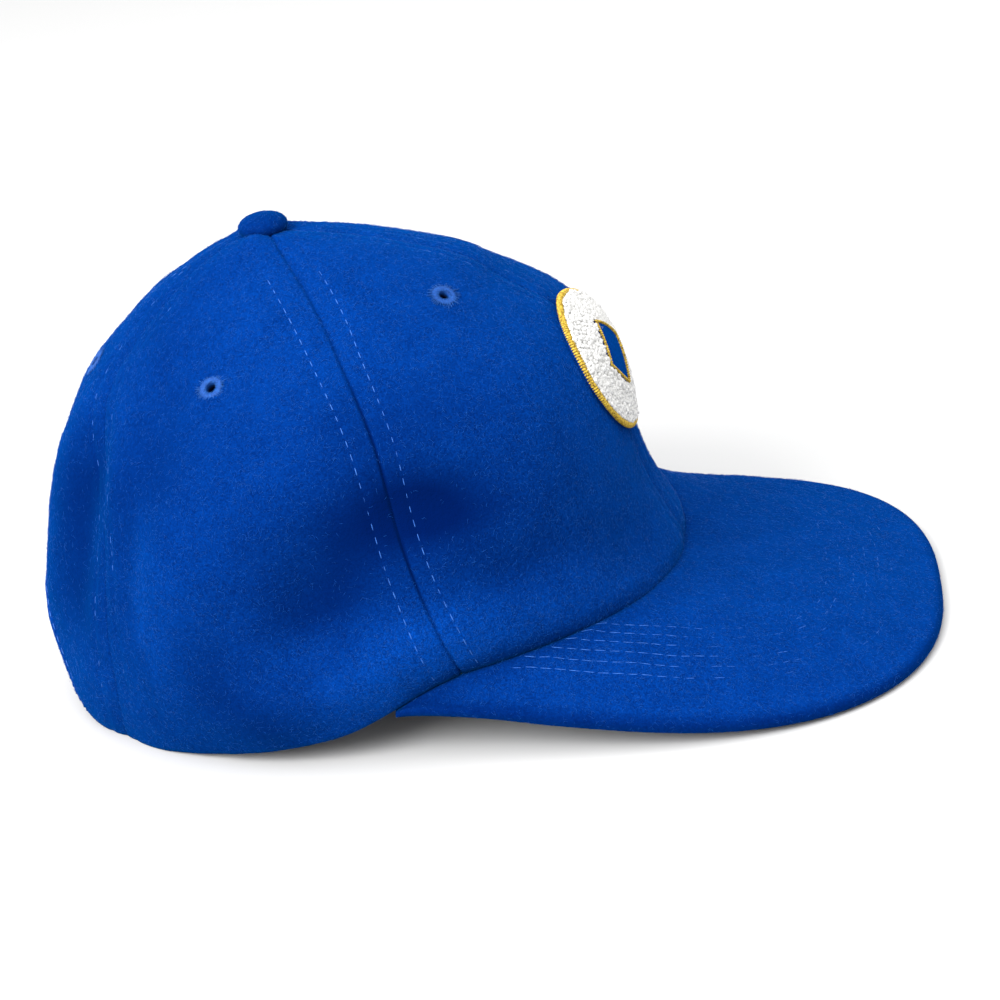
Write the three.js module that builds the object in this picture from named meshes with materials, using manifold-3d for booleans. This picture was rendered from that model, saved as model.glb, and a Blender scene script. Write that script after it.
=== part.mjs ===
// A six-panel snapback cap in thick wool felt with a flat peak, lying on a flat surface as it would
// by itself: the rear of the rim and the front edge of the peak rest on it.
// Millimetres. +X is the wearer's front, +Y the wearer's left, +Z up, and z = 0 is the surface.

import * as THREE from "three";
import { mergeVertices } from "three/addons/utils/BufferGeometryUtils.js";
import Module from "manifold-3d";

const wasm = await Module();
wasm.setup();

// Driving dimensions of the crown
const ORIGIN_X = 36.15; // from the crown's middle to the middle of the whole cap
const FELT = 2; // wall of the crown
const GAP = 0.3; // between neighbouring pieces
const SQUARENESS = 0.07; // how much fuller than an ellipse a crown section is
const TIP_RISE = 0.988; // where the panels' points end, under the button
const SEAM_DEPTH = 0.9; // the panels roll inwards at their seams
const SEAM_WIDTH = 3.2;
const RIM_ROLL = 0.6; // the rim turns in a little at its lower edge
const RIM_ROLL_RISE = 0.03;
const SLOPE_STEP = 0.01; // rise over which the crown's slope is taken

// How the panels' grids are spaced
const PANEL_COLUMNS = 12;
const PANEL_ROWS = 16;
const SEAM_CROWDING = 0.7; // columns crowd towards the seams, from 0 for even to 1
const TOP_CROWDING = 1.25; // rows crowd towards the button, from 1 for even

// The covered button and its rivet
const BUTTON_RADIUS = 7.7;
const BUTTON_HEIGHT = 5.4;
const BUTTON_SIDE = 1; // height of its widest line over its base
const BUTTON_UNDERCUT = 0.6;
const BUTTON_FULLNESS = 0.6; // power under 1 for a dome fuller than a ball's
const BUTTON_DOME_STEPS = 6;
const RIVET_RADIUS = 1.6;
const RIVET_LENGTH = 4;
const BUTTON_SINK = 1; // the crown falls away from its very top, so the button sits a little lower

// The stitched eyelets
const EYELET_RADIUS = 4.8;
const EYELET_BORE = 1.5;
const EYELET_SLEEVE = 2.1;
const EYELET_LIP = 0.6; // height of the ring over the felt
const EYELET_TAIL = 0.4; // of the sleeve past the felt's inner face
const EYELET_BEVEL = 0.3; // at the ring's outer edge
const EYELET_CREST = 2.2; // radius of the ring's highest line
const EYELET_HOLE_DEPTH = 8; // of the cutter for the hole in the felt

// The peak
const PEAK_CORNER = 84.3; // degrees from the front, where the peak leaves the rim
const PEAK_REACH = 73; // in front of the rim, along the centre line
const PEAK_HALF_WIDTH = 122; // before its corners are rounded off
const PEAK_THICK = 3.8;
const PEAK_CORNER_THICK = 1.4;
const PEAK_CORNER_STEP = 1.2; // how far its corners stand out from the rim
const PEAK_TUCK = 4; // how far the peak runs in under the crown's wall
const PEAK_TUCK_DROP = 2.6;
const PEAK_ROUND_FRONT = 1.58; // powers of the outline's curve
const PEAK_ROUND_SIDE = 2.63;
const PEAK_ROUND_CORNER = 2.35;
const PEAK_FRONT_HEIGHT = 0; // of the underside, above the surface
const PEAK_SIDE_HEIGHT = 1.1;
const PEAK_CORNER_LIFT = 6.5; // power: its edge stays low until close to its corners
const PEAK_THINNING = 24; // power: the peak keeps its thickness until close to its corners
const PEAK_TURN_START = 2; // width of the peak where its cross-section starts to turn outwards
const PEAK_TURN_END = 16; // and where it has turned
const PEAK_SECTIONS = 44;
const PEAK_STRIPS = 5;
const PEAK_EDGE_STEPS = 4;

// The half-moon opening at the back and the strap across it
const ARCH_HALF_WIDTH = 38;
const ARCH_HEIGHT = 42;
const ARCH_STEPS = 14;
const ARCH_CUT = { back: -120, front: -50, below: -10 }; // the block that is cut away
const STRAP_REACH = 38; // degrees each side of the back, to where its ends are sewn in
const STRAP_LAP = 22; // degrees each side of the back, where the two tabs lap
const STRAP_RISE = 0.012;
const STRAP_TOP_RISE = 0.15;
const STRAP_THICK = 1.3;
const STUD_RADIUS = 2.3;
const STUD_HEIGHT = 1.2;
const STUD_COUNT = 7;
const STUD_PITCH = 6.6; // degrees

// The sweatband
const BAND_CLEAR_OF_STRAP = 1.5; // degrees
const BAND_RISE = 0.02;
const BAND_TOP_RISE = 0.22;
const BAND_THICK = 1.2;

// The raised patch on the front: an oval field of pile with a plain diamond left open in its middle
const EMBLEM_RISE = 0.44; // its middle, on the front seam
const EMBLEM_OVAL = { halfWide: 27.5, halfHigh: 24, roundness: 2 };
const EMBLEM_DIAMOND = { halfWide: 12, halfHigh: 10.5, roundness: 1.15 };
const EMBLEM_BORDER = 3.6;
const EMBLEM_BACKING = 1.2;
const EMBLEM_PILE = 2;
const EMBLEM_STEPS = 28;
const EMBLEM_RINGS = 3;
const RISE_PER_MM = 1 / 141; // along the front seam there

// Crown sections from the rim to the button: how far each reaches and how high it lies there
const SECTIONS = [
  { rise: 0, frontX: 98.8, frontZ: 24, rearX: -98.8, rearZ: 4.1, sideX: 8.3, halfW: 80.6, sideZ: 12 },
  { rise: 0.25, frontX: 86.1, frontZ: 56.4, rearX: -99.1, rearZ: 32, sideX: -0.3, halfW: 82.7, sideZ: 49.3 },
  { rise: 0.5, frontX: 78.5, frontZ: 91.3, rearX: -86.7, rearZ: 75.1, sideX: -5.4, halfW: 72.8, sideZ: 86.8 },
  { rise: 0.75, frontX: 51.9, frontZ: 113.5, rearX: -67.2, rearZ: 103.9, sideX: -9.5, halfW: 48.9, sideZ: 106.6 },
  { rise: 0.9, frontX: 29.2, frontZ: 124.9, rearX: -42.7, rearZ: 123.3, sideX: -12.4, halfW: 28.1, sideZ: 121.7 },
  { rise: 1, frontX: -13.7, frontZ: 132.9, rearX: -13.7, rearZ: 132.9, sideX: -13.7, halfW: 0, sideZ: 132.9 },
];

// Height of the rim above the surface, by angle from the front
const RIM = [
  { angle: 0, height: 24 },
  { angle: 30, height: 26.4 },
  { angle: 60, height: 26.4 },
  { angle: 78, height: 21.3 },
  { angle: 92, height: 10.7 },
  { angle: 106, height: 5.2 },
  { angle: 118, height: 1.8 },
  { angle: 132, height: 0.2 },
  { angle: 146, height: 0.2 },
  { angle: 162, height: 2.1 },
  { angle: 180, height: 4.1 },
];

// Seams of the wearer's right side: degrees from the front at each of those sections. The rear seam
// swings back a little over the crown's upper half, where the felt has slumped.
const SEAMS = [
  { name: "front", angles: [0, 0, 0, 0, 0, 0] },
  { name: "side", angles: [72.2, 71.2, 70.1, 69.1, 68.4, 68] },
  { name: "rear", angles: [138, 133, 137, 147, 149.5, 145] },
  { name: "back", angles: [180, 180, 180, 180, 180, 180] },
];

// Panels of the right side, each between two of those seams, with the place of its eyelet
const PANELS = [
  { name: "front", from: 0, to: 1, eyeletAngle: 30, eyeletRise: 0.8 },
  { name: "side", from: 1, to: 2, eyeletAngle: 105, eyeletRise: 0.745 },
  { name: "rear", from: 2, to: 3, eyeletAngle: 168, eyeletRise: 0.73 },
];

// The wearer's two sides
const SIDES = [
  { name: "right", sign: 1 },
  { name: "left", sign: -1 },
];

// Soft dents of the felt, and bulges where the depth is negative
const DENTS = [
  { angle: 23, rise: 0.12, depth: 2, angleSpan: 9.5, riseSpan: 0.08 },
  { angle: 53, rise: 0.18, depth: 3.3, angleSpan: 19, riseSpan: 0.08 },
  { angle: 64, rise: 0.53, depth: 3.4, angleSpan: 25, riseSpan: 0.16 },
  { angle: 65, rise: 0.33, depth: 5.7, angleSpan: 16, riseSpan: 0.1 },
  { angle: 86, rise: 0.24, depth: 5.7, angleSpan: 13, riseSpan: 0.15 },
  { angle: 84, rise: 0.1, depth: -4, angleSpan: 25, riseSpan: 0.08 },
  { angle: 118, rise: 0.48, depth: 6.3, angleSpan: 15, riseSpan: 0.24 },
  { angle: 114.5, rise: 0.36, depth: -6, angleSpan: 10, riseSpan: 0.2 },
  { angle: 143, rise: 0.45, depth: 6.3, angleSpan: 9, riseSpan: 0.19 },
];

const FELT_BLUE = 0x0a3fa8;
const THREAD_BLUE = 0x3f78d0;
const STRAP_BLUE = 0x0d3c98;
const PILE_WHITE = 0xf2f0ea;
const SATIN_GOLD = 0xd9a21b;

const radians = THREE.MathUtils.degToRad;
const lerp = THREE.MathUtils.lerp;

// Natural cubic spline through values at rising knots
function spline(knots, values) {
  const last = knots.length - 1;
  const bend = new Array(last + 1).fill(0);
  const load = new Array(last + 1).fill(0);
  for (let i = 1; i < last; i++) {
    const before = knots[i] - knots[i - 1];
    const after = knots[i + 1] - knots[i];
    const share = before / (before + after);
    const pivot = share * bend[i - 1] + 2;
    const turn = (values[i + 1] - values[i]) / after - (values[i] - values[i - 1]) / before;
    bend[i] = (share - 1) / pivot;
    load[i] = ((6 * turn) / (before + after) - share * load[i - 1]) / pivot;
  }
  bend[last] = 0;
  for (let i = last - 1; i >= 0; i--) bend[i] = bend[i] * bend[i + 1] + load[i];
  return (t) => {
    let k = 0;
    while (k < last - 1 && t > knots[k + 1]) k++;
    const step = knots[k + 1] - knots[k];
    const a = (knots[k + 1] - t) / step;
    const b = (t - knots[k]) / step;
    const curve = ((a ** 3 - a) * bend[k] + (b ** 3 - b) * bend[k + 1]) * step * step;
    return a * values[k] + b * values[k + 1] + curve / 6;
  };
}

// Spline along the crown from one rim over the button to the other, where the rise counts on to 2
const overKnots = [...SECTIONS.map((row) => row.rise), ...SECTIONS.slice(0, -1).reverse().map((row) => 2 - row.rise)];
function overTheTop(near, far, sign = 1) {
  const down = SECTIONS.slice(0, -1).reverse();
  return spline(overKnots, [...SECTIONS.map((row) => row[near]), ...down.map((row) => sign * row[far])]);
}
const lengthX = overTheTop("frontX", "rearX");
const lengthZ = overTheTop("frontZ", "rearZ");
const sideX = overTheTop("sideX", "sideX");
const sideZ = overTheTop("sideZ", "sideZ");
const halfWidth = overTheTop("halfW", "halfW", -1);

// Rim height by angle in degrees, from 0 to 180, mirrored past both ends so that it stays smooth there
const rimSpline = spline(
  [...RIM.slice(1).reverse().map((row) => -row.angle), ...RIM.map((row) => row.angle),
    ...RIM.slice(0, -1).reverse().map((row) => 360 - row.angle)],
  [...RIM.slice(1).reverse().map((row) => row.height), ...RIM.map((row) => row.height),
    ...RIM.slice(0, -1).reverse().map((row) => row.height)],
);

// The same angle on the right side, from 0 to 180
function fold(angle) {
  return Math.abs(((((angle + 180) % 360) + 360) % 360) - 180);
}

function across(front, rear, side, cosine) {
  return side + ((front - rear) / 2) * cosine + ((front + rear) / 2 - side) * cosine * cosine;
}

// Smooth crown without seams or dents; angle in degrees from the front towards the wearer's right
function crownForm(angle, rise) {
  const cosine = Math.cos(radians(angle));
  const x = across(lengthX(rise), lengthX(2 - rise), sideX(rise), cosine);
  const y = -halfWidth(rise) * Math.sin(radians(angle)) * (1 + SQUARENESS * cosine * cosine);
  const level = across(SECTIONS[0].frontZ, SECTIONS[0].rearZ, SECTIONS[0].sideZ, cosine);
  const fade = (1 - rise) ** 2;
  const z = across(lengthZ(rise), lengthZ(2 - rise), sideZ(rise), cosine) + (rimSpline(fold(angle)) - level) * fade;
  return new THREE.Vector3(x, y, z);
}

// Outward normal of a surface given as a point for each angle and rise
function normalOf(pointAt, angle, rise) {
  const low = Math.max(rise - SLOPE_STEP, 0);
  const high = Math.min(rise + SLOPE_STEP, 1);
  const round = pointAt(angle + 0.5, rise).sub(pointAt(angle - 0.5, rise));
  const up = pointAt(angle, high).sub(pointAt(angle, low));
  return up.cross(round).normalize();
}

const crownNormal = (angle, rise) => normalOf(crownForm, angle, rise);

const seamCurves = SEAMS.map((seam) => spline(SECTIONS.map((row) => row.rise), seam.angles));
function seamAngle(seam, rise) {
  return seamCurves[SEAMS.indexOf(seam)](rise);
}

function dentRelief(angle, rise) {
  return DENTS.reduce((sum, dent) => {
    const a = (fold(angle) - dent.angle) / dent.angleSpan;
    const r = (rise - dent.rise) / dent.riseSpan;
    return sum - dent.depth * Math.exp(-a * a - r * r);
  }, 0);
}

function seamRelief(angle, rise) {
  const flat = crownForm(angle, rise);
  const radius = Math.hypot(flat.x - sideX(rise), flat.y);
  return SEAMS.reduce((sum, seam) => {
    const apart = radians(fold(angle) - seamAngle(seam, rise)) * radius;
    return sum - SEAM_DEPTH * Math.exp(-((apart / SEAM_WIDTH) ** 2));
  }, 0);
}

// Point on the felt's outer face, or `depth` under it
function feltPoint(angle, rise, depth, seams = true) {
  const rim = -RIM_ROLL * Math.exp(-((rise / RIM_ROLL_RISE) ** 2));
  const relief = dentRelief(angle, rise) + (seams ? seamRelief(angle, rise) + rim : 0);
  return crownForm(angle, rise).addScaledVector(crownNormal(angle, rise), relief - depth);
}

// Closed sheet between two faces given over a grid of columns and rows
function sheet(columns, rows, outer, inner) {
  const corners = [];
  for (const face of [outer, inner]) {
    for (let i = 0; i <= columns; i++) {
      for (let j = 0; j <= rows; j++) corners.push(face(i / columns, j / rows));
    }
  }
  const half = (columns + 1) * (rows + 1);
  const at = (i, j) => i * (rows + 1) + j;
  const index = [];
  const quad = (a, b, c, d) => index.push(a, b, c, a, c, d);
  for (let i = 0; i < columns; i++) {
    for (let j = 0; j < rows; j++) {
      quad(at(i, j), at(i, j + 1), at(i + 1, j + 1), at(i + 1, j));
      quad(half + at(i, j), half + at(i + 1, j), half + at(i + 1, j + 1), half + at(i, j + 1));
    }
    quad(at(i, 0), at(i + 1, 0), half + at(i + 1, 0), half + at(i, 0));
    quad(at(i, rows), half + at(i, rows), half + at(i + 1, rows), at(i + 1, rows));
  }
  for (let j = 0; j < rows; j++) {
    quad(at(0, j), half + at(0, j), half + at(0, j + 1), at(0, j + 1));
    quad(at(columns, j), at(columns, j + 1), half + at(columns, j + 1), half + at(columns, j));
  }
  return geometryOf(corners, index);
}

function geometryOf(points, index) {
  const geometry = new THREE.BufferGeometry();
  geometry.setAttribute("position", new THREE.Float32BufferAttribute(points.flatMap((p) => p.toArray()), 3));
  geometry.setIndex(index);
  return geometry;
}

function solidOf(geometry) {
  const bare = geometry.clone();
  bare.deleteAttribute("normal");
  bare.deleteAttribute("uv");
  const merged = mergeVertices(bare, 1e-4);
  return new wasm.Manifold(
    new wasm.Mesh({
      numProp: 3,
      vertProperties: new Float32Array(merged.attributes.position.array),
      triVerts: new Uint32Array(merged.index.array),
    }),
  );
}

function geometryFrom(solid) {
  const mesh = solid.getMesh();
  const geometry = new THREE.BufferGeometry();
  geometry.setAttribute("position", new THREE.BufferAttribute(new Float32Array(mesh.vertProperties), 3));
  geometry.setIndex(new THREE.BufferAttribute(new Uint32Array(mesh.triVerts), 1));
  return geometry;
}

// Turns +Y of a lathed or extruded shape onto the felt's normal at a place
function placeOnFelt(object, angle, rise, lift) {
  const normal = normalOf((a, r) => feltPoint(a, r, 0, false), angle, rise);
  object.quaternion.setFromUnitVectors(new THREE.Vector3(0, 1, 0), normal);
  object.position.copy(feltPoint(angle, rise, -lift, false));
  object.updateMatrix();
  return object;
}

function material(color, roughness) {
  return new THREE.MeshStandardMaterial({ color, roughness, metalness: 0 });
}

const felt = material(FELT_BLUE, 0.95);
const thread = material(THREAD_BLUE, 0.7);
const plastic = material(STRAP_BLUE, 0.45);
const pile = material(PILE_WHITE, 0.95);
const satin = material(SATIN_GOLD, 0.4);

const cap = new THREE.Group();
cap.position.x = -ORIGIN_X;

function add(name, geometry, finish) {
  const mesh = new THREE.Mesh(geometry, finish);
  mesh.name = name;
  cap.add(mesh);
  return mesh;
}

// Half-moon prism through the back of the crown
function archCutter() {
  const outline = new THREE.Shape();
  outline.moveTo(-ARCH_HALF_WIDTH, ARCH_CUT.below);
  outline.lineTo(ARCH_HALF_WIDTH, ARCH_CUT.below);
  outline.lineTo(ARCH_HALF_WIDTH, 0);
  outline.absellipse(0, 0, ARCH_HALF_WIDTH, ARCH_HEIGHT, 0, Math.PI, false);
  const depth = ARCH_CUT.front - ARCH_CUT.back;
  const prism = new THREE.ExtrudeGeometry(outline, { depth, bevelEnabled: false, curveSegments: ARCH_STEPS });
  prism.rotateX(Math.PI / 2);
  prism.rotateZ(Math.PI / 2);
  prism.translate(ARCH_CUT.back, 0, 0);
  return solidOf(prism);
}
const arch = archCutter();

const crowdEnds = (t) => lerp(t, 0.5 - 0.5 * Math.cos(Math.PI * t), SEAM_CROWDING);
const crowdTop = (t) => TIP_RISE * (1 - (1 - t) ** TOP_CROWDING);

function panelGeometry(panel, sign) {
  const face = (depth) => (u, v) => {
    const rise = crowdTop(v);
    const edges = [seamAngle(SEAMS[panel.from], rise), seamAngle(SEAMS[panel.to], rise)];
    const middle = crownForm((edges[0] + edges[1]) / 2, rise);
    const radius = Math.hypot(middle.x - sideX(rise), middle.y);
    const clear = THREE.MathUtils.radToDeg(GAP / 2 / radius);
    const place = lerp(edges[0] + clear, edges[1] - clear, crowdEnds(sign > 0 ? u : 1 - u));
    return feltPoint(sign * place, rise, depth);
  };
  return sheet(PANEL_COLUMNS, PANEL_ROWS, face(0), face(FELT));
}

function eyeletHole(angle, rise) {
  const hole = new THREE.CylinderGeometry(EYELET_SLEEVE + GAP, EYELET_SLEEVE + GAP, EYELET_HOLE_DEPTH, 12);
  const placed = placeOnFelt(new THREE.Object3D(), angle, rise, -FELT / 2);
  return solidOf(hole.applyMatrix4(placed.matrix));
}

// Lipped ring whose sleeve passes through the hole in the felt
function eyeletGeometry() {
  const profile = [
    [EYELET_BORE, -FELT - EYELET_TAIL],
    [EYELET_SLEEVE, -FELT - EYELET_TAIL],
    [EYELET_SLEEVE, GAP],
    [EYELET_RADIUS, GAP],
    [EYELET_RADIUS - EYELET_BEVEL, EYELET_LIP],
    [EYELET_CREST, GAP + EYELET_LIP],
    [EYELET_BORE, EYELET_LIP - EYELET_BEVEL],
    [EYELET_BORE, -FELT - EYELET_TAIL],
  ];
  return new THREE.LatheGeometry(profile.map(([r, y]) => new THREE.Vector2(r, y)), 14);
}

for (const side of SIDES) {
  for (const panel of PANELS) {
    const angle = side.sign * panel.eyeletAngle;
    let solid = solidOf(panelGeometry(panel, side.sign));
    if (panel.name === "rear") solid = solid.subtract(arch);
    solid = solid.subtract(eyeletHole(angle, panel.eyeletRise));
    add(`panel_${panel.name}_${side.name}`, geometryFrom(solid), felt);
    const eyelet = add(`eyelet_${panel.name}_${side.name}`, eyeletGeometry(), thread);
    placeOnFelt(eyelet, angle, panel.eyeletRise, 0);
  }
}

// Domed button on a rivet through the hole where the panels meet
function buttonGeometry() {
  const widest = GAP + BUTTON_SIDE;
  const profile = [
    [0, -RIVET_LENGTH],
    [RIVET_RADIUS, -RIVET_LENGTH],
    [RIVET_RADIUS, GAP],
    [BUTTON_RADIUS - BUTTON_UNDERCUT, GAP],
    [BUTTON_RADIUS, widest],
  ];
  for (let i = 1; i < BUTTON_DOME_STEPS; i++) {
    const turn = (i / BUTTON_DOME_STEPS) * (Math.PI / 2);
    const height = (BUTTON_HEIGHT - BUTTON_SIDE) * Math.sin(turn);
    profile.push([BUTTON_RADIUS * Math.cos(turn) ** BUTTON_FULLNESS, widest + height]);
  }
  profile.push([0, GAP + BUTTON_HEIGHT]);
  return new THREE.LatheGeometry(profile.map(([r, y]) => new THREE.Vector2(r, y)), 20);
}
const button = add("top_button", buttonGeometry(), felt);
const crest = crownForm(0, 1);
const slope = crownForm(0, 0.97).sub(crownForm(180, 0.97)).normalize();
const buttonAxis = new THREE.Vector3(-slope.z, 0, slope.x);
button.position.copy(crest).addScaledVector(buttonAxis, -BUTTON_SINK);
button.quaternion.setFromUnitVectors(new THREE.Vector3(0, 1, 0), buttonAxis);

// Peak: cross-sections from the rim out to the edge, one for each step round the front
function peakEdge(share) {
  const turn = radians(90 * Math.abs(share));
  const corner = crownForm(PEAK_CORNER, 0);
  corner.addScaledVector(crownNormal(PEAK_CORNER, 0).setZ(0).normalize(), PEAK_CORNER_STEP);
  const c = Math.cos(turn);
  const s = Math.sin(turn);
  const x = lerp(corner.x, SECTIONS[0].frontX + PEAK_REACH, c ** (2 / PEAK_ROUND_FRONT));
  const reach = lerp(PEAK_HALF_WIDTH, -corner.y, s ** PEAK_ROUND_CORNER);
  const y = reach * s ** (2 / PEAK_ROUND_SIDE);
  const cornerZ = corner.z - GAP - PEAK_CORNER_THICK;
  const open = lerp(PEAK_SIDE_HEIGHT, PEAK_FRONT_HEIGHT, c * c);
  const z = lerp(open, cornerZ, s ** PEAK_CORNER_LIFT);
  return new THREE.Vector3(x, -Math.sign(share) * y, z);
}

function peakSection(share) {
  const angle = share * PEAK_CORNER;
  const thick = lerp(PEAK_THICK, PEAK_CORNER_THICK, Math.abs(share) ** PEAK_THINNING);
  const rim = crownForm(angle, 0).add(new THREE.Vector3(0, 0, -GAP));
  const edge = peakEdge(share).add(new THREE.Vector3(0, 0, thick / 2));
  const outward = crownNormal(angle, 0).setZ(0).normalize();
  const run = edge.clone().sub(rim).setZ(0);
  const open = THREE.MathUtils.smoothstep(run.length(), PEAK_TURN_START, PEAK_TURN_END);
  const ahead = outward.clone().lerp(run.clone().normalize(), open).normalize();
  const pitch = open * Math.atan2(rim.z - edge.z - thick / 2, Math.max(run.length(), 1));
  const down = ahead.clone().multiplyScalar(Math.cos(pitch)).setZ(-Math.sin(pitch));
  const normal = ahead.clone().multiplyScalar(Math.sin(pitch)).setZ(Math.cos(pitch));
  const tuck = rim.clone().addScaledVector(outward, -PEAK_TUCK).add(new THREE.Vector3(0, 0, -PEAK_TUCK_DROP));
  const centre = edge.clone().addScaledVector(ahead, -thick / 2);
  const topEnd = centre.clone().addScaledVector(normal, thick / 2);
  const lowEnd = centre.clone().addScaledVector(normal, -thick / 2);
  const lowRim = rim.clone().addScaledVector(normal, -thick);
  const lowTuck = tuck.clone().add(new THREE.Vector3(0, 0, -thick));
  const points = [tuck];
  for (let i = 0; i <= PEAK_STRIPS; i++) points.push(rim.clone().lerp(topEnd, i / PEAK_STRIPS));
  for (let i = 1; i < PEAK_EDGE_STEPS; i++) {
    const turn = Math.PI / 2 - (Math.PI * i) / PEAK_EDGE_STEPS;
    const around = down.clone().multiplyScalar(Math.cos(turn)).addScaledVector(normal, Math.sin(turn));
    points.push(centre.clone().addScaledVector(around, thick / 2));
  }
  for (let i = PEAK_STRIPS; i >= 0; i--) points.push(lowRim.clone().lerp(lowEnd, i / PEAK_STRIPS));
  points.push(lowTuck);
  return points;
}

// Closed body through a row of like cross-sections
function loft(sections) {
  const count = sections[0].length;
  const index = [];
  for (let i = 0; i + 1 < sections.length; i++) {
    for (let j = 0; j < count; j++) {
      const a = i * count + j;
      const b = i * count + ((j + 1) % count);
      index.push(a, a + count, b, b, a + count, b + count);
    }
  }
  const end = (sections.length - 1) * count;
  for (let j = 1; j + 1 < count; j++) {
    index.push(0, j, j + 1);
    index.push(end, end + j + 1, end + j);
  }
  return geometryOf(sections.flat(), index);
}
const shares = Array.from({ length: PEAK_SECTIONS + 1 }, (_, i) => (2 * i) / PEAK_SECTIONS - 1);
add("peak", loft(shares.map(peakSection)), felt);

// Strip that follows the inside of the crown between two angles
function innerStrip(fromAngle, toAngle, columns, lowRise, highRise, rows, depth, thick) {
  const face = (under) => (u, v) =>
    feltPoint(lerp(fromAngle, toAngle, u), lerp(lowRise, highRise, v), under, false);
  return sheet(columns, rows, face(depth), face(depth + thick));
}

const bandEnd = 180 - STRAP_REACH - BAND_CLEAR_OF_STRAP;
const bandDepth = FELT + SEAM_DEPTH + 1.5 * GAP;
add(
  "sweatband",
  innerStrip(-bandEnd, bandEnd, 48, BAND_RISE, BAND_TOP_RISE, 3, bandDepth, BAND_THICK),
  felt,
);

// Snap strap: a band, the lapped second tab on it and a row of studs, all one piece
function strapGeometry() {
  const depth = FELT + RIM_ROLL + 2 * GAP;
  const ends = [180 - STRAP_REACH, 180 + STRAP_REACH];
  const lap = [180 - STRAP_LAP, 180 + STRAP_LAP];
  const lapDepth = depth - STRAP_THICK;
  const middleRise = (STRAP_RISE + STRAP_TOP_RISE) / 2;
  let solid = solidOf(innerStrip(...ends, 20, STRAP_RISE, STRAP_TOP_RISE, 1, depth, STRAP_THICK));
  solid = solid.add(
    solidOf(innerStrip(...lap, 12, STRAP_RISE, STRAP_TOP_RISE, 1, lapDepth, STRAP_THICK + GAP)),
  );
  for (let i = 0; i < STUD_COUNT; i++) {
    const angle = 180 + (i - (STUD_COUNT - 1) / 2) * STUD_PITCH;
    const stud = new THREE.CylinderGeometry(STUD_RADIUS * 0.8, STUD_RADIUS, 2 * STUD_HEIGHT, 8);
    const placed = placeOnFelt(new THREE.Object3D(), angle, middleRise, -lapDepth);
    solid = solid.add(solidOf(stud.applyMatrix4(placed.matrix)));
  }
  return geometryFrom(solid);
}
add("snap_strap", strapGeometry(), plastic);

// Oval or diamond laid on the front of the crown, between two heights over the felt
function patchGeometry(outline, inset, low, high) {
  const around = EMBLEM_STEPS;
  const rings = EMBLEM_RINGS;
  const place = (share, turn, lift) => {
    const c = Math.cos(turn);
    const s = Math.sin(turn);
    const { halfWide, halfHigh, roundness } = outline;
    const reach = (Math.abs(c) ** roundness + Math.abs(s) ** roundness) ** (-1 / roundness);
    const wide = (halfWide - inset) * share * reach * c;
    const high = (halfHigh - inset) * share * reach * s;
    const rise = EMBLEM_RISE + high * RISE_PER_MM;
    const angle = THREE.MathUtils.radToDeg(wide / (halfWidth(rise) * (1 + SQUARENESS)));
    return feltPoint(angle, rise, -lift, false);
  };
  const points = [place(0, 0, high), place(0, 0, low)];
  for (const lift of [high, low]) {
    for (let r = 1; r <= rings; r++) {
      for (let a = 0; a < around; a++) points.push(place(r / rings, (a / around) * 2 * Math.PI, lift));
    }
  }
  const at = (layer, r, a) => 2 + layer * rings * around + (r - 1) * around + (a % around);
  const index = [];
  for (let a = 0; a < around; a++) {
    index.push(0, at(0, 1, a + 1), at(0, 1, a));
    index.push(1, at(1, 1, a), at(1, 1, a + 1));
    for (let r = 1; r < rings; r++) {
      index.push(at(0, r, a), at(0, r, a + 1), at(0, r + 1, a + 1));
      index.push(at(0, r, a), at(0, r + 1, a + 1), at(0, r + 1, a));
      index.push(at(1, r, a), at(1, r + 1, a + 1), at(1, r, a + 1));
      index.push(at(1, r, a), at(1, r + 1, a), at(1, r + 1, a + 1));
    }
    index.push(at(0, rings, a), at(0, rings, a + 1), at(1, rings, a + 1));
    index.push(at(0, rings, a), at(1, rings, a + 1), at(1, rings, a));
  }
  return geometryOf(points, index);
}
const backingTop = GAP + EMBLEM_BACKING;
const pileBase = backingTop + GAP;
const pileTop = pileBase + EMBLEM_PILE;
const pileField = solidOf(patchGeometry(EMBLEM_OVAL, EMBLEM_BORDER, pileBase, pileTop));
const opening = solidOf(patchGeometry(EMBLEM_DIAMOND, 0, backingTop, pileTop + GAP));
add("emblem_edge", patchGeometry(EMBLEM_OVAL, 0, GAP, backingTop), satin);
add("emblem_pile", geometryFrom(pileField.subtract(opening)), pile);

export default cap;
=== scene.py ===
# A six-panel snapback cap in royal-blue wool felt, lying on a plain floor as it would by itself.
# The cap's own sizes are in millimetres and degrees. +X is the wearer's front, +Y their left, +Z up.

import bmesh
import bpy
import numpy as np
from mathutils import Matrix, Vector
from mathutils.bvhtree import BVHTree


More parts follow.
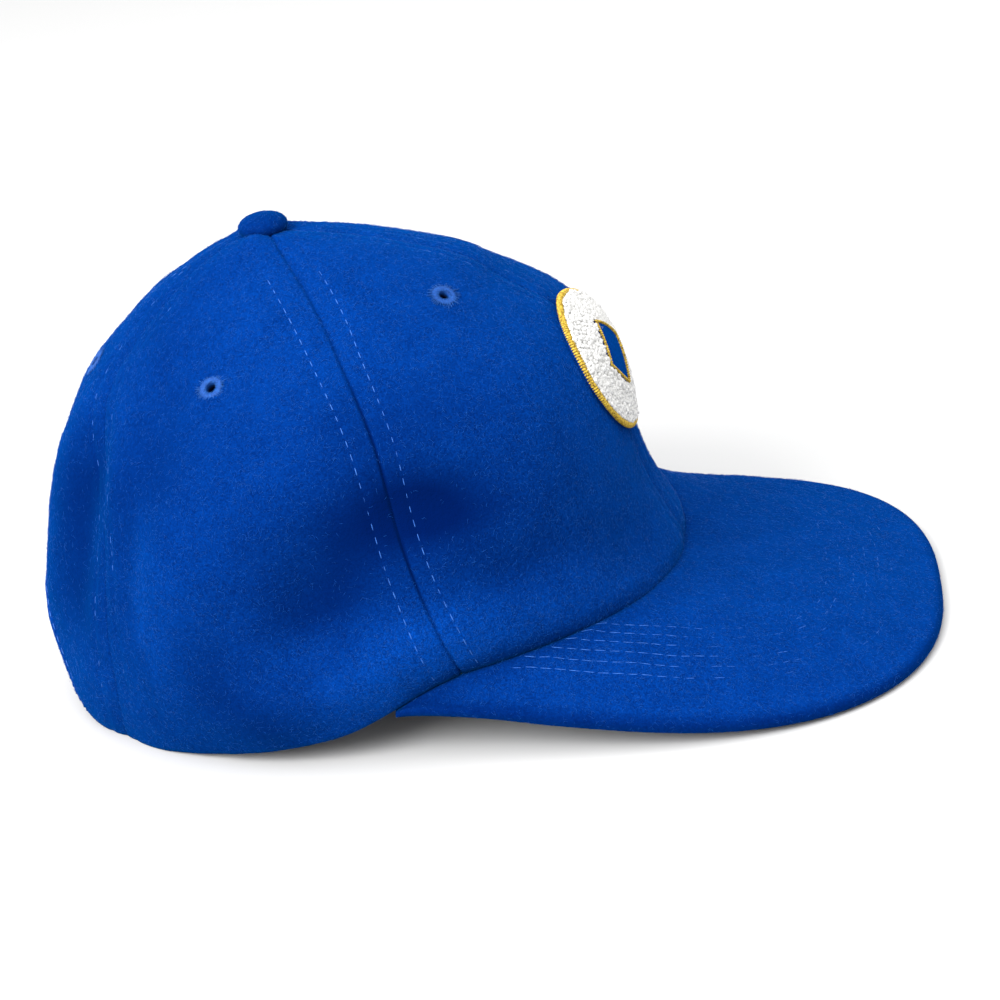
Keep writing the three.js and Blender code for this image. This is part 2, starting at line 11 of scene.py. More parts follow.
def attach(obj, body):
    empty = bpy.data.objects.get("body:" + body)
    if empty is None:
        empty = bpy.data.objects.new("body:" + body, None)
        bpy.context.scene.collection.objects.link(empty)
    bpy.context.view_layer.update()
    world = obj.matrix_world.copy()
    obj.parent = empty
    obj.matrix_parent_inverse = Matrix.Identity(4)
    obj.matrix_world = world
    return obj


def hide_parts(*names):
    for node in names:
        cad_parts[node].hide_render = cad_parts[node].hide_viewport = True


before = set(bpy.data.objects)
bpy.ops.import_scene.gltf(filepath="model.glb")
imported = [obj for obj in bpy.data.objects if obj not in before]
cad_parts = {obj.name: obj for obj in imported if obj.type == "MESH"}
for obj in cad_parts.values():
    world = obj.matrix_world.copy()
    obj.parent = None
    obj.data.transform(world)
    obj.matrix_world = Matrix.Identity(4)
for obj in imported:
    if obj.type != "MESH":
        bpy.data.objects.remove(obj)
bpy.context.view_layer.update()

# Crown panels. Six gores of thick brushed wool felt, sewn edge to edge in rolled grooves. The front
# two stand stiffly and the others sag into soft dents. The form is a table of sections up the crown.
MM = 0.001
CROWN_MIDDLE = 36.15  # how far the crown's middle lies behind the middle of the cap
FELT = 2.0
SQUARENESS = 0.07
TIP_RISE = 0.988
RIM_ROLL = 0.6
RIM_ROLL_RISE = 0.03
PEAK_ROLL = 1.0  # the rim rolls in further where the peak is sewn to it
PEAK_ROLL_RISE = 0.02
PEAK_END = 84.3
SEAM_ROLL = 0.7
SEAM_ROLL_WIDTH = 3.6
SEAM_GROOVE = 0.6
SEAM_GROOVE_WIDTH = 0.5
SEAM_ROW_FRONT = 5.0  # from a seam to the stitch row in front of it
SEAM_ROW_REAR = 6.4  # and to the one behind it
DENT_SHADE_DEPTH = 8.0  # depth of a dent that is painted fully in shade; bulges get a little painted light
# painted shade along the seam grooves, about this wide
SEAM_SHADE_WIDTH = 0.42
# painted shade where the crown's rim rolls in over the peak
RIM_SHADE = 0.75
RIM_SHADE_RISE = 0.03
RIM_SHADE_FROM = 75  # the painted shade over the rim is lighter towards the front
HEM_SHADE = 0.24  # painted shade along the rim at the back and sides, where the crown curves in towards the floor
HEM_SHADE_RISE = 0.11
# painted shade over the rear panels
BACK_SHADE = 0.14
TIP_SWELL = dict(height=1.8, rise=0.975, rise_span=0.02, angle=90, angle_span=45)
STITCH_DIP = 0.28
STITCH_DIP_WIDTH = 1.3
WRINKLES = [dict(height=0.35, size=38, seed=1), dict(height=0.08, size=12, seed=2)]
STIFF_SHARE = 0.25  # how much of the wrinkles the stiff front panels show
SEAM_PUCKER = dict(height=0.05, size=8, seed=3)
SEAM_PUCKER_WIDTH = 9
ARCH_HALF_WIDTH = 38.0
ARCH_HEIGHT = 42.0
ARCH_TURN_IN = 1.1  # the felt ends inside the hem, at this share of the opening's half sizes squared


def table(columns, *rows):
    """A list of named rows, from the names of the columns and the values in each row."""
    return [dict(zip(columns.split(), row)) for row in rows]


SECTIONS = table(  # along and up, in millimetres, at each section's front, rear and side
    "rise front rear side half_width",
    (0.0, (98.8, 24.0), (-98.8, 4.1), (8.3, 12.0), 80.6),
    (0.25, (86.1, 56.4), (-99.1, 32.0), (-0.3, 49.3), 82.7),
    (0.5, (78.5, 91.3), (-86.7, 75.1), (-5.4, 86.8), 72.8),
    (0.75, (51.9, 113.5), (-67.2, 103.9), (-9.5, 106.6), 48.9),
    (0.9, (29.2, 124.9), (-42.7, 123.3), (-12.4, 121.7), 28.1),
    (1.0, (-13.7, 132.9), (-13.7, 132.9), (-13.7, 132.9), 0.0),
)
RIM = [  # angle and height
    (0, 24.0), (30, 26.4), (60, 26.4), (78, 21.3), (92, 10.7), (106, 5.2), (118, 1.8), (132, 0.2),
    (146, 0.2), (162, 2.1), (180, 4.1),
]
SEAMS = table(
    "name angles groove",
    ("front", [0, 0, 0, 0, 0, 0], 0.3),
    ("side", [72.2, 71.2, 70.1, 69.1, 68.4, 68], 1.0),
    ("rear", [138, 133, 137, 147, 149.5, 145], 0.25),
    ("back", [180, 180, 180, 180, 180, 180], 0.3),
)
PANELS = table(
    "name seams eyelet cut cut_area",
    ("front", (0, 1), (30.0, 0.8), (107, 170), 11990),
    ("side", (1, 2), (105.0, 0.745), (117, 170), 13230),
    ("rear", (2, 3), (168.0, 0.73), (73, 170), 6430),
)
SIDES = [("right", 1), ("left", -1)]
DENTS = table(
    "angle rise depth angle_span rise_span",
    (23, 0.12, 2.0, 9.5, 0.08),
    (53, 0.18, 3.3, 19, 0.08),
    (64, 0.53, 3.4, 25, 0.16),
    (65, 0.345, 5.7, 16, 0.1),
    (87.5, 0.225, 5.9, 12.5, 0.145),
    (84, 0.1, -4.0, 25, 0.08),
    (118, 0.48, 6.3, 15, 0.24),
    (114.5, 0.36, -6.0, 10, 0.2),
    (143, 0.45, 6.3, 9, 0.19),
)
PAINTED_LIGHT_AND_SHADE = table(  # soft spots of painted shade, or of painted light where below nought
    "angle rise pressed angle_span rise_span",
    (115, 0.15, 0.36, 16, 0.14),
    (103, 0.07, 0.32, 6, 0.08),
    (78, 0.07, -0.3, 10, 0.14),
    (29, 0.02, -0.26, 26, 0.14),
    (84, 0.38, 0.2, 26, 0.08),
    (52, 0.31, 0.18, 16, 0.04),
    (94, 0.19, -0.27, 10, 0.04),
    (57, 0.45, -0.26, 10, 0.05),
    (17, 0.36, -0.25, 10, 0.14),
    (134, 0.86, 0.28, 26, 0.14),
    (42, 0.83, 0.1, 26, 0.14),
    (155, 0.48, 0.28, 6, 0.14),
    (114, 0.41, 0.16, 6, 0.14),
    (150, 0.28, 0.16, 26, 0.08),
    (110, 0.17, 0.33, 6, 0.14),
    (90, 0.34, -0.23, 6, 0.08),
    (98, 0.05, 0.2, 10, 0.08),
    (94, 0.67, 0.12, 16, 0.14),
    (141, 0.43, -0.3, 6, 0.08),
    (121, 0.31, -0.26, 2.5, 0.15),
)


def smooth_curve(knots, values):
    """Natural cubic spline through values at rising knots, for arrays."""
    k, v = np.array(knots, float), np.array(values, float)
    h = np.diff(k)
    system, load = np.eye(len(k)), np.zeros(len(k))
    for i in range(1, len(k) - 1):
        system[i, i - 1 : i + 2] = h[i - 1], 2 * (h[i - 1] + h[i]), h[i]
        load[i] = 6 * ((v[i + 1] - v[i]) / h[i] - (v[i] - v[i - 1]) / h[i - 1])
    bend = np.linalg.solve(system, load)

    def at(t):
        i = np.clip(np.searchsorted(k, t, side="right") - 1, 0, len(k) - 2)
        a, b = (k[i + 1] - t) / h[i], (t - k[i]) / h[i]
        curve = (a**3 - a) * bend[i] + (b**3 - b) * bend[i + 1]
        return a * v[i] + b * v[i + 1] + curve * h[i] ** 2 / 6

    return at


def over_the_top(front, rear):
    """A curve from the front's rim over the top to the rear's rim, at a rise of two."""
    knots = [row["rise"] for row in SECTIONS] + [2 - row["rise"] for row in SECTIONS[-2::-1]]
    return smooth_curve(knots, front + rear[-2::-1])


def ends(end, i):
    return [row[end][i] for row in SECTIONS]


length_x, length_z = (over_the_top(ends("front", i), ends("rear", i)) for i in (0, 1))
side_x, side_z = (over_the_top(ends("side", i), ends("side", i)) for i in (0, 1))
half_widths = [row["half_width"] for row in SECTIONS]
half_width = over_the_top(half_widths, [-w for w in half_widths])
rim_rows = [(-a, h) for a, h in RIM[:0:-1]] + RIM + [(360 - a, h) for a, h in RIM[-2::-1]]
rim_height = smooth_curve(*zip(*rim_rows))


def fold(angle):
    """The same angle on the right side, from 0 to 180."""
    return np.abs((angle + 180) % 360 - 180)


def crown_form(angle, rise):
    """The smooth crown; the angle runs from the front towards the wearer's right."""
    angle, rise = np.broadcast_arrays(angle, rise)
    c, s = np.cos(np.radians(angle)), np.sin(np.radians(angle))

    def across(front, rear, side):
        return side + (front - rear) / 2 * c + ((front + rear) / 2 - side) * c * c

    level = across(*(SECTIONS[0][end][1] for end in ("front", "rear", "side")))
    x = across(length_x(rise), length_x(2 - rise), side_x(rise))
    y = -half_width(rise) * s * (1 + SQUARENESS * c * c)
    z = across(length_z(rise), length_z(2 - rise), side_z(rise))
    return np.stack([x, y, z + (rim_height(fold(angle)) - level) * (1 - rise) ** 2], axis=-1)


def unit(v):
    """The same directions with a length of one."""
    return v / np.maximum(np.linalg.norm(v, axis=-1, keepdims=True), 1e-12)


def crown_normal(angle, rise):
    low, high = np.maximum(rise - 0.01, 0), np.minimum(rise + 0.01, 1)
    around = crown_form(angle + 0.5, rise) - crown_form(angle - 0.5, rise)
    return unit(np.cross(crown_form(angle, high) - crown_form(angle, low), around))


def girth_radius(angle, rise):
    p = crown_form(angle, rise)
    return np.hypot(p[..., 0] - side_x(rise), p[..., 1])


for seam in SEAMS:
    seam["curve"] = smooth_curve([row["rise"] for row in SECTIONS], seam["angles"])


def nearest_seam(angle, rise):
    """Millimetres from the nearest seam, over nought behind it, and how sharp its groove is."""
    apart = np.radians([fold(angle) - s["curve"](rise) for s in SEAMS]) * girth_radius(angle, rise)
    nearest = np.abs(apart).argmin(axis=0)
    sharp = np.array([s["groove"] for s in SEAMS])[nearest]
    return np.take_along_axis(apart, nearest[None], axis=0)[0], sharp


def soft_noise(points, size, seed):
    """Smooth noise of about one, in bumps of about that size."""
    rng = np.random.default_rng(seed)
    waves = unit(rng.normal(size=(14, 3))) * rng.uniform(0.6, 1.5, (14, 1)) * 2 * np.pi / size
    return np.sin(points @ waves.T + rng.uniform(0, 2 * np.pi, 14)).sum(axis=-1) / np.sqrt(7)


def wrinkles(rows, points):
    return sum(row["height"] * soft_noise(points, row["size"], row["seed"]) for row in rows)


def bell(x):
    return np.exp(-(x**2))


def spots(rows, key, angle, rise):
    """The sum of soft round spots, one for each row, at places on either side of the crown."""
    total = 0.0
    for row in rows:
        a = (fold(angle) - row["angle"]) / row["angle_span"]
        r = (rise - row["rise"]) / row["rise_span"]
        total = total + row[key] * np.exp(-a * a - r * r)
    return total


def over_peak(angle):
    """One where the peak is sewn to the rim and nought behind it."""
    return 1 / (1 + np.exp((fold(angle) - PEAK_END + 3) / 1.5))


def painted_felt_shade(angle, rise):
    """How dark the felt is painted, up to one: painted shade in dents and seam grooves, along the rim
    and over the peak, and painted light and shade in spots.
    """
    folded = fold(angle)
    dent_shade = np.clip(spots(DENTS, "depth", angle, rise) / DENT_SHADE_DEPTH, -0.2, 1)
    d, sharp = nearest_seam(angle, rise)
    seam_shade = 0.5 * sharp * bell(d / SEAM_SHADE_WIDTH) * np.clip((1.1 - rise) / 0.5, 0, 1)
    hem = HEM_SHADE * np.clip((folded - 90) / 25, 0, 1) * bell(rise / HEM_SHADE_RISE)
    back_shade = BACK_SHADE * np.clip((folded - 138) / 15, 0, 1)
    rim = RIM_SHADE * over_peak(angle) * np.clip(folded / RIM_SHADE_FROM, 0.3, 1) * bell(rise / RIM_SHADE_RISE)
    return dent_shade + seam_shade + hem + back_shade + rim + spots(PAINTED_LIGHT_AND_SHADE, "pressed", angle, rise)


def felt_point(angle, rise):
    """A point of the felt's outer face, with its seams, dents and wrinkles."""
    angle, rise = np.broadcast_arrays(angle, rise)
    form = crown_form(angle, rise)
    d, sharp = nearest_seam(angle, rise)
    relief = spots([TIP_SWELL], "height", angle, rise) - spots(DENTS, "depth", angle, rise)
    relief -= RIM_ROLL * bell(rise / RIM_ROLL_RISE)
    relief -= PEAK_ROLL * over_peak(angle) * bell(rise / PEAK_ROLL_RISE)
    relief -= SEAM_ROLL * bell(d / SEAM_ROLL_WIDTH)
    relief -= SEAM_GROOVE * sharp * bell(d / SEAM_GROOVE_WIDTH)
    for row in (-SEAM_ROW_FRONT, SEAM_ROW_REAR):
        relief -= STITCH_DIP * bell((d - row) / STITCH_DIP_WIDTH)
    relief += np.clip((fold(angle) - 70) / 20, STIFF_SHARE, 1) * wrinkles(WRINKLES, form)
    relief += wrinkles([SEAM_PUCKER], form) * bell(d / SEAM_PUCKER_WIDTH)
    return form + crown_normal(angle, rise) * relief[..., None]


def in_cap(points):
    """From the crown's own millimetres to metres in the shared frame."""
    return (np.asarray(points, float) - (CROWN_MIDDLE, 0, 0)) * MM


def laid_grid(points):
    """A grid of faces through an array of the cap's points: columns, rows and coordinates."""
    points = in_cap(points)
    columns, rows = points.shape[0] - 1, points.shape[1] - 1
    bm = bmesh.new()
    bmesh.ops.create_grid(bm, x_segments=columns, y_segments=rows, size=0.5)
    for v in bm.verts:
        v.co = points[round((v.co.x + 0.5) * columns), round((v.co.y + 0.5) * rows)]
    return bm


def mark_painted_shade(bm, amounts):
    """How dark each corner of a laid grid is painted, as painted shade, or as painted light below
    nought.
    """
    layer = bm.verts.layers.float.new("pressed")
    for v, amount in zip(bm.verts, np.asarray(amounts).T.ravel()):
        v[layer] = amount


def face_outwards(bm):
    """Turns an open sheet so that its faces look away from the inside of the crown."""
    bm.normal_update()
    inside = Vector(in_cap((0, 0, 50)))
    looks = sum((f.calc_center_median() - inside).dot(f.normal) * f.calc_area() for f in bm.faces)
    if looks < 0:
        bmesh.ops.reverse_faces(bm, faces=bm.faces[:])


def close_up(bm):
    """Joins a rolled-up grid along its seam, fills its open ends and turns its faces outwards."""
    bmesh.ops.remove_doubles(bm, verts=bm.verts, dist=0.01 * MM)
    bmesh.ops.holes_fill(bm, edges=[e for e in bm.edges if e.is_boundary], sides=0)
    bmesh.ops.recalc_face_normals(bm, faces=bm.faces)


def show(name, data):
    made = bpy.data.objects.new(name, data)
    bpy.context.scene.collection.objects.link(made)
    return made


def kept_mesh(bm, name):
    bm.normal_update()
    mesh = bpy.data.meshes.new(name)
    bm.to_mesh(mesh)
    bm.free()
    return mesh


def finish_mesh(mesh, finish, nodes=()):
    """A piece of the cap's one body, which may stand for nodes of the CAD model."""
    mesh.shade_smooth()
    mesh.materials.append(finish)
    piece = show(mesh.name, mesh)
    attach(piece, "root")
    if nodes:
        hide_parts(*nodes)
    return piece


def finish_piece(bm, name, finish, nodes=()):
    return finish_mesh(kept_mesh(bm, name), finish, nodes)


def thicken(piece, thickness):
    """Gives an open sheet its wall, inwards."""
    wall = piece.modifiers.new("wall", "SOLIDIFY")
    wall.thickness = thickness * MM
    wall.offset = -1
    wall.use_even_offset = True


def feed(tree, node, inputs):
    """Sets a node's inputs, or links those that are given as sockets."""
    for key, value in inputs.items():
        if isinstance(value, bpy.types.NodeSocket):
            tree.links.new(value, node.inputs[key])
        else:
            node.inputs[key].default_value = value


def add_node(tree, kind, inputs={}, **settings):
    made = tree.nodes.new(kind)
    for key, value in settings.items():
        setattr(made, key, value)
    feed(tree, made, inputs)
    return made


def new_finish(name, roughness, specular=0.5):
    finish = bpy.data.materials.new(name)
    finish.use_nodes = True
    tree = finish.node_tree
    shader = tree.nodes["Principled BSDF"]
    feed(tree, shader, {"Roughness": roughness, "Specular IOR Level": specular})
    return finish, tree, shader, add_node(tree, "ShaderNodeTexCoord").outputs["Object"]


def noise(tree, place, size, detail, seed):
    """Noise in blotches of that many millimetres; the seed moves it."""
    shift = (seed, 0.7 * seed, -0.4 * seed)
    moved = add_node(tree, "ShaderNodeVectorMath", {0: place, 1: shift}, operation="ADD").outputs[0]
    settings = {"Vector": moved, "Scale": 1 / (size * MM), "Detail": detail, "Roughness": 0.5}
    return add_node(tree, "ShaderNodeTexNoise", settings).outputs["Fac"]


def remap(tree, value, low, high, to_low=0.0, to_high=1.0):
    ends = {"Value": value, "From Min": low, "From Max": high, "To Min": to_low, "To Max": to_high}
    return add_node(tree, "ShaderNodeMapRange", ends).outputs[0]


def maths(tree, operation, a, b=0.0):
    return add_node(tree, "ShaderNodeMath", {0: a, 1: b}, operation=operation).outputs[0]


def paint(tree, shader, share, dark, light):
    """Colours a finish between two tones."""
    mixed = add_node(tree, "ShaderNodeMix", {0: share, 6: dark, 7: light}, data_type="RGBA")
    feed(tree, shader, {"Base Color": mixed.outputs[2]})


def add_bump(tree, shader, height, strength, depth):
    settings = {"Height": height, "Strength": strength, "Distance": depth * MM}
    bump = add_node(tree, "ShaderNodeBump", settings)
    feed(tree, shader, {"Normal": bump.outputs[0]})


# Brushed wool: fine speckle over clouds, darker where painted shade is laid on and lighter where painted
# light is.
felt_blue, tree, shader, place = new_finish("royal_blue_felt", 1.0, 0.0)
sheen = {"Sheen Weight": 0.1, "Sheen Roughness": 0.5, "Sheen Tint": (0.0, 0.3, 1.0, 1.0)}
feed(tree, shader, sheen)
cloud = remap(tree, noise(tree, place, 9, 3.0, 0.2), 0.3, 0.7)
tufts = remap(tree, noise(tree, place, 1.1, 2.0, 3.9), 0.32, 0.68)
speckle = remap(tree, noise(tree, place, 0.45, 1.0, 1.7), 0.36, 0.66)
shares = ((tufts, 0.28), (speckle, 0.52), (cloud, 0.2))
parts = [maths(tree, "MULTIPLY", *part) for part in shares]
depth = maths(tree, "ADD", parts[2], maths(tree, "ADD", parts[0], parts[1]))
painted_dark = add_node(tree, "ShaderNodeAttribute", attribute_name="pressed").outputs["Fac"]
# painted shade darkens the felt towards its dark tone; below nought, painted light lifts it above its
# own colour
unshaded = remap(tree, painted_dark, -0.35, 0.85, 1.41, 0.0)
shown = maths(tree, "MULTIPLY", remap(tree, depth, 0, 1, 0.13, 0.87), unshaded)
paint(tree, shader, shown, (0.0002, 0.005, 0.05, 1), (0.0008, 0.0335, 0.215, 1))
fibre_ends = maths(tree, "ADD", noise(tree, place, 0.4, 2.0, 4.2), maths(tree, "MULTIPLY", tufts, 0.6))
add_bump(tree, shader, fibre_ends, 0.6, 0.22)

PANEL_COLUMNS = 88
PANEL_ROWS = 116
SEAM_CROWDING = 0.96  # columns crowd towards the seams, from 0 for even to 1
TOP_CROWDING = 1.2  # rows crowd towards the button, from 1 for even
EYELET_CUT = 3.2
REAR_HALF = -40  # the opening is behind this place along the cap


def in_arch(co):
    """Over 1 outside the half-moon opening and under 1 within it, for a point at the back."""
    if co[0] > REAR_HALF * MM - CROWN_MIDDLE * MM:
        return 2.0
    return (co[1] / (ARCH_HALF_WIDTH * MM)) ** 2 + (co[2] / (ARCH_HEIGHT * MM)) ** 2


panel_pieces = []
rise = (TIP_RISE * (1 - (1 - np.linspace(0, 1, PANEL_ROWS + 1)) ** TOP_CROWDING))[None, :]
share = np.linspace(0, 1, PANEL_COLUMNS + 1)[:, None]
share = share + (0.5 - 0.5 * np.cos(np.pi * share) - share) * SEAM_CROWDING
for side, sign in SIDES:
    for panel in PANELS:
        first, second = (SEAMS[i] for i in panel["seams"])
        angle = first["curve"](rise) * (1 - share) + second["curve"](rise) * share
        bm = laid_grid(felt_point(sign * angle, rise))
        mark_painted_shade(bm, painted_felt_shade(angle, rise))
        eyelet_angle, eyelet_rise = panel["eyelet"]
        hole = Vector(in_cap(felt_point(sign * eyelet_angle, eyelet_rise)))
        cut = [f for f in bm.faces if (f.calc_center_median() - hole).length < EYELET_CUT * MM]
        cut += [f for f in bm.faces if max(in_arch(v.co) for v in f.verts) < ARCH_TURN_IN]
        bmesh.ops.delete(bm, geom=list(set(cut)), context="FACES")
        for v in bm.verts:
            if v.is_boundary and in_arch(v.co) < ARCH_TURN_IN:
                v.co.yz *= (ARCH_TURN_IN / in_arch(v.co)) ** 0.5
        face_outwards(bm)
        place = f"{panel['name']}_{side}"
        piece = finish_piece(bm, f"felt_{place}", felt_blue, [f"panel_{place}"])
        thicken(piece, FELT)
        flat = tuple(length * MM for length in panel["cut"])
        panel_pieces.append(piece)

# Seam stitching. Two rows of lighter blue thread beside every seam hold the seam allowance down.
# Each stitch is a short plump dash that sinks into the felt, with a small gap to the next one.
STITCH_LENGTH = 2.2
STITCH_PITCH = 3.95
STITCH_THICK = 0.3
STITCH_SUNK = 0.08  # rows along the softer seams lie deeper in the nap
STITCH_RISES = (0.012, 0.925)
STITCH_ROW_SHARE = 0.33  # near the button the rows close in to this share of the radius
STITCH_OFF_ARCH = 1.25  # the rows stop short of the opening


def copies(pattern, name, at, along, up, size, bow=0.0, curl=0.0):
    """Many like pieces as one mesh, in metres. The pattern lies along X from -0.5 to 0.5 with Z up;
    size has its three lengths for each copy, bow lifts the middle and curl swings it aside."""
    co = np.array([v.co for v in pattern.vertices])
    loops = np.array([i for p in pattern.polygons for i in p.vertices])
    starts = np.array([p.loop_start for p in pattern.polygons])
    count = len(at)
    along = unit(along)
    side = unit(np.cross(up, along))
    over = np.cross(along, side)
    local = co[None] * np.asarray(size)[:, None, :]
    arch = 1 - 4 * co[None, :, 0] ** 2
    local[..., 2] += arch * np.broadcast_to(bow, count)[:, None]
    local[..., 1] += arch * np.broadcast_to(curl, count)[:, None]
    axes = enumerate((along, side, over))
    placed = at[:, None] + sum(local[..., i, None] * axis[:, None] for i, axis in axes)
    mesh = bpy.data.meshes.new(name)
    mesh.vertices.add(count * len(co))
    mesh.loops.add(count * len(loops))
    mesh.polygons.add(count * len(starts))
    mesh.vertices.foreach_set("co", placed.ravel())
    nth = np.arange(count)[:, None]
    mesh.loops.foreach_set("vertex_index", (loops[None] + len(co) * nth).ravel())
    mesh.polygons.foreach_set("loop_start", (starts[None] + len(loops) * nth).ravel())
    mesh.update(calc_edges=True)
    return mesh


bm = bmesh.new()
bmesh.ops.create_uvsphere(bm, u_segments=8, v_segments=6, radius=0.5)
bmesh.ops.rotate(bm, verts=bm.verts, matrix=Matrix.Rotation(np.pi / 2, 3, "Y"))
for v in bm.verts:
    v.co.x = 0.5 * np.sign(v.co.x) * abs(2 * v.co.x) ** 0.75
dash = kept_mesh(bm, "dash")


def run_along(points):
    """How far along a path each of its points lies."""
    return np.concatenate([[0], np.cumsum(np.linalg.norm(np.diff(points, axis=0), axis=1))])


def stitch_row(points, normals, pitch):
    """Places, directions and lifts for stitches at an even pitch along a path in millimetres."""
    run = run_along(points)
    stops = np.arange(pitch / 2, run[-1], pitch)

    def at(values, where):
        return np.stack([np.interp(where, run, values[:, i]) for i in range(3)], axis=1)

    ahead = at(points, stops + 0.4) - at(points, stops - 0.4)
    return at(points, stops), unit(ahead), unit(at(normals, stops))


def grained_finish(name, dark, light, roughness, specular, tone, grain):
    """Clouds of two tones and a fine grain, each from its own noise."""
    finish, tree, shader, place = new_finish(name, roughness, specular)
    clouds = noise(tree, place, tone["size"], tone["detail"], tone["seed"])
    paint(tree, shader, remap(tree, clouds, tone["low"], tone["high"]), dark, light)
    fine = noise(tree, place, grain["size"], grain["detail"], grain["seed"])
    add_bump(tree, shader, fine, grain["strength"], grain["depth"])
    return finish


def thread_finish(name, dark, light, roughness=0.6):
    """Twisted polyester thread: fine strands with a soft sheen."""
    tone = dict(size=0.5, detail=2.0, seed=6.1, low=0.35, high=0.65)
    grain = dict(size=0.2, detail=1.0, seed=1.3, strength=0.5, depth=0.1)
    return grained_finish(name, dark, light, roughness, 0.15, tone, grain)


seam_thread = thread_finish("seam_thread", (0.01, 0.06, 0.26, 1), (0.03, 0.115, 0.38, 1))


def joined(rows):
    return (np.concatenate(parts) for parts in zip(*rows))


def sew(name, at, along, up, length=STITCH_LENGTH, thick=STITCH_THICK):
    size = np.tile([length, thick, thick], (len(at), 1)) * MM
    finish_mesh(copies(dash, name, at, along, up, size), seam_thread)


rows = []
rise = np.linspace(*STITCH_RISES, 500)
for seam in SEAMS:
    centre = seam["curve"](rise)
    radius = girth_radius(centre, rise)
    inner = dict(front=[(1, 1), (-1, 1)], back=[(1, -1), (-1, -1)])
    for sign, beside in inner.get(seam["name"], [(1, 1), (1, -1), (-1, 1), (-1, -1)]):
        offset = np.minimum(SEAM_ROW_REAR if beside > 0 else SEAM_ROW_FRONT, STITCH_ROW_SHARE * radius)
        angle = centre + beside * np.degrees(offset / radius)
        points, normal = felt_point(sign * angle, rise), crown_normal(sign * angle, rise)
        keep = np.array([in_arch(p) > STITCH_OFF_ARCH for p in in_cap(points)])
        points = points - normal * (0 if seam["groove"] == 1 else STITCH_SUNK)
        rows.append(stitch_row(points[keep], normal[keep], STITCH_PITCH))
at, along, up = joined(rows)
at = at - up * np.random.default_rng(3).uniform(-0.02, 0.12, (len(at), 1))
sew("seam_stitches", in_cap(at), along, up)

# Peak. A stiff board between two covers of felt, sewn to the front of the rim. Its sides droop, its
# front edge lies on the floor, and rows of stitching follow its outline on top.
PEAK_REACH = 73.0
PEAK_HALF_WIDTH = 122.0
PEAK_THICK = 3.8
PEAK_CORNER_THICK = 1.4
PEAK_CORNER_STEP = 1.2
PEAK_DROP = 0.3  # from the crown's rim down to the peak's top
PEAK_TUCK = 4.0
PEAK_TUCK_DROP = 2.6
PEAK_LIP = 2.6  # how far the top runs on flat under the crown's rim
PEAK_ROUND_FRONT = 1.58
PEAK_ROUND_SIDE = 2.63
PEAK_ROUND_CORNER = 2.35
PEAK_SIDE_HEIGHT = 1.1
PEAK_CORNER_LIFT = (6.5, 18.0)  # on the right and the left
PEAK_HOLLOW = dict(depth=3.0, share=-0.5, spread=0.3)  # the left side has sagged behind the crown
PEAK_LEVEL = 2.0  # it stays level where it stands out less than this, and tilts fully past the next
PEAK_TILT_OVER = 14.0
PEAK_THINNING = 24
PEAK_EDGE_GROOVE = dict(depth=0.16, turn=-0.75, spread=0.2)  # the seam of the two covers
PEAK_WAVES = [dict(height=0.12, size=22, seed=11), dict(height=0.05, size=7, seed=12)]
PEAK_WAVES_FADE = 5
PEAK_COLUMNS = 220
PEAK_STRIPS = 66
PEAK_EDGE_STEPS = 16
PEAK_ROWS = [16.2, 20.5, 24.8, 29.1, 33.4, 37.7]  # stitch rows, from the outer edge
PEAK_ROWS_NARROW = 9.5  # the rows draw together where the peak is about as narrow as this
PEAK_QUILT = 0.16
PEAK_STITCH = dict(pitch=4.0, length=3.3, thick=0.22)
# painted shade on the peak: a slight even darkening, a band along its outer edge, and a strip beside the
# crown's rim at the sides
PEAK_SHADE = dict(flat=0.09, edge=0.55, edge_soft=2.4, rim=0.25, rim_soft=4.5)


def peak_edge(share):
    turn = np.radians(90 * np.abs(share))
    c, s = np.cos(turn), np.sin(turn)
    corner = crown_form(PEAK_END, 0)
    corner = corner + unit(crown_normal(PEAK_END, 0.0) * (1, 1, 0)) * PEAK_CORNER_STEP
    reach = SECTIONS[0]["front"][0] + PEAK_REACH - corner[0]
    x = corner[0] + reach * c ** (2 / PEAK_ROUND_FRONT)
    y = PEAK_HALF_WIDTH + (-corner[1] - PEAK_HALF_WIDTH) * s**PEAK_ROUND_CORNER
    y = y * s ** (2 / PEAK_ROUND_SIDE)
    z = PEAK_SIDE_HEIGHT * s * s
    corner_z = corner[2] - PEAK_DROP - PEAK_CORNER_THICK
    z = z + (corner_z - z) * s ** np.where(share > 0, *PEAK_CORNER_LIFT)
    return np.stack([x, -np.sign(share) * y, z], axis=-1)


